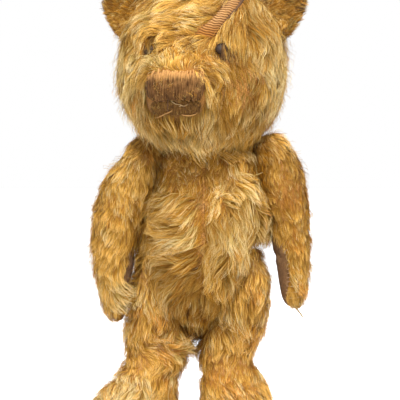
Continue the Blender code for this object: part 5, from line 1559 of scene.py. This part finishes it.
for sideName in ("left", "right"):
    addSole(sideName)
print("soles sewn on")

# carried-over frame pieces

nodeLooks = {"disc": "hardboard", "washer": "dullSteel", "pin": "dullSteel", "insole": "card",
             "foot_pad": "pawFelt", "paw_pad": "pawFelt", "eye": "eyeGlass", "nose": "pawFelt",
             "mouth": "mouthThread", "binding": "paleThread", "straw": "straw", "stuffing": "woodWool"}
for name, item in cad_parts.items():
    for word, look in nodeLooks.items():
        if word in name:
            item.data.materials.clear()
            item.data.materials.append(materials[look])
print("frame pieces finished")

# floor, light and camera


def addFloor():
    half = 8.0
    ends = [(-half, -half, 0), (half, -half, 0), (half, half, 0), (-half, half, 0)]
    mesh = bpy.data.meshes.new("floor")
    mesh.from_pydata(ends, [], [(0, 1, 2, 3)])
    tree, shader = newMaterial("paleFloor")
    shader.inputs["Base Color"].default_value = (0.86, 0.86, 0.86, 1)
    # away from the bear it glows for the camera, so that it meets the white world without a line
    far = node(tree, "VectorMath", operation="LENGTH", inputs={0: onObject(tree)})
    glow = node(tree, "MapRange", inputs={"Value": far.outputs["Value"], "From Min": 0.2, "From Max": 1.6,
                                          "To Min": 0.5, "To Max": 1.0}).outputs[0]
    seen = node(tree, "LightPath").outputs["Is Camera Ray"]
    tree.links.new(times(tree, seen, glow), shader.inputs["Emission Strength"])
    shader.inputs["Emission Color"].default_value = (1, 1, 1, 1)
    mesh.materials.append(materials["paleFloor"])
    addObject("floor", mesh)


# each lamp's place, size and power; all of them aim at the bear's middle
lamps = {"keyLamp": ((0.1, -1.25, 1.85), 0.8, 62.0), "leftLamp": ((-1.4, -0.5, 0.9), 1.0, 4.0),
         "rightLamp": ((1.4, -0.4, 0.9), 1.0, 5.0), "backLamp": ((0.3, 1.5, 1.3), 1.2, 24.0)}
lampAim = Vector((0, 0, 0.3))


def addAimed(name, data, place, aim):
    item = addObject(name, data)
    item.location = place
    item.rotation_euler = (aim - place).to_track_quat("-Z", "Y").to_euler()
    return item


def addLamp(name, place, size, power):
    lamp = bpy.data.lights.new(name, "AREA")
    lamp.shape, lamp.size, lamp.energy = "DISK", size, power
    addAimed(name, lamp, Vector(place), lampAim)


def addWorld(strength):
    world = bpy.data.worlds.new("softWorld")
    world.use_nodes = True
    tree = world.node_tree
    background = tree.nodes["Background"]
    paths = node(tree, "LightPath").outputs
    seen = mathNode(tree, "MAXIMUM", paths["Is Camera Ray"], paths["Is Glossy Ray"])
    seen = mathNode(tree, "MAXIMUM", seen, paths["Is Transmission Ray"])
    light = mathNode(tree, "MULTIPLY_ADD", seen, 1.0 - strength, strength)
    tree.links.new(light, background.inputs["Strength"])
    background.inputs["Color"].default_value = (1, 1, 1, 1)
    bpy.context.scene.world = world


view = {"distance": 2.5, "elevation": math.radians(2.0), "height": 0.235, "sensor": 36.0, "lens": 225.0}


def addCamera():
    camera = bpy.data.cameras.new("camera")
    camera.sensor_width, camera.lens = view["sensor"], view["lens"]
    camera.clip_end = 50
    aim = Vector((-floorMiddle[0] * mm, -floorMiddle[1] * mm, view["height"]))
    back = Vector((0, -math.cos(view["elevation"]), math.sin(view["elevation"])))
    bpy.context.scene.camera = addAimed("camera", camera, aim + back * view["distance"], aim)


added = [item.data for item in bpy.data.objects if item.type == "MESH" and "OFBake" in item.data.uv_layers]
triangles = [len(mesh.loops) - 2 * len(mesh.polygons) for mesh in added]
print("triangles in all", sum(triangles), "most in one", max(triangles))
addFloor()
for name, (place, size, power) in lamps.items():
    addLamp(name, place, size, power)
addWorld(0.32)
addCamera()
bpy.context.scene.view_settings.view_transform = "Standard"
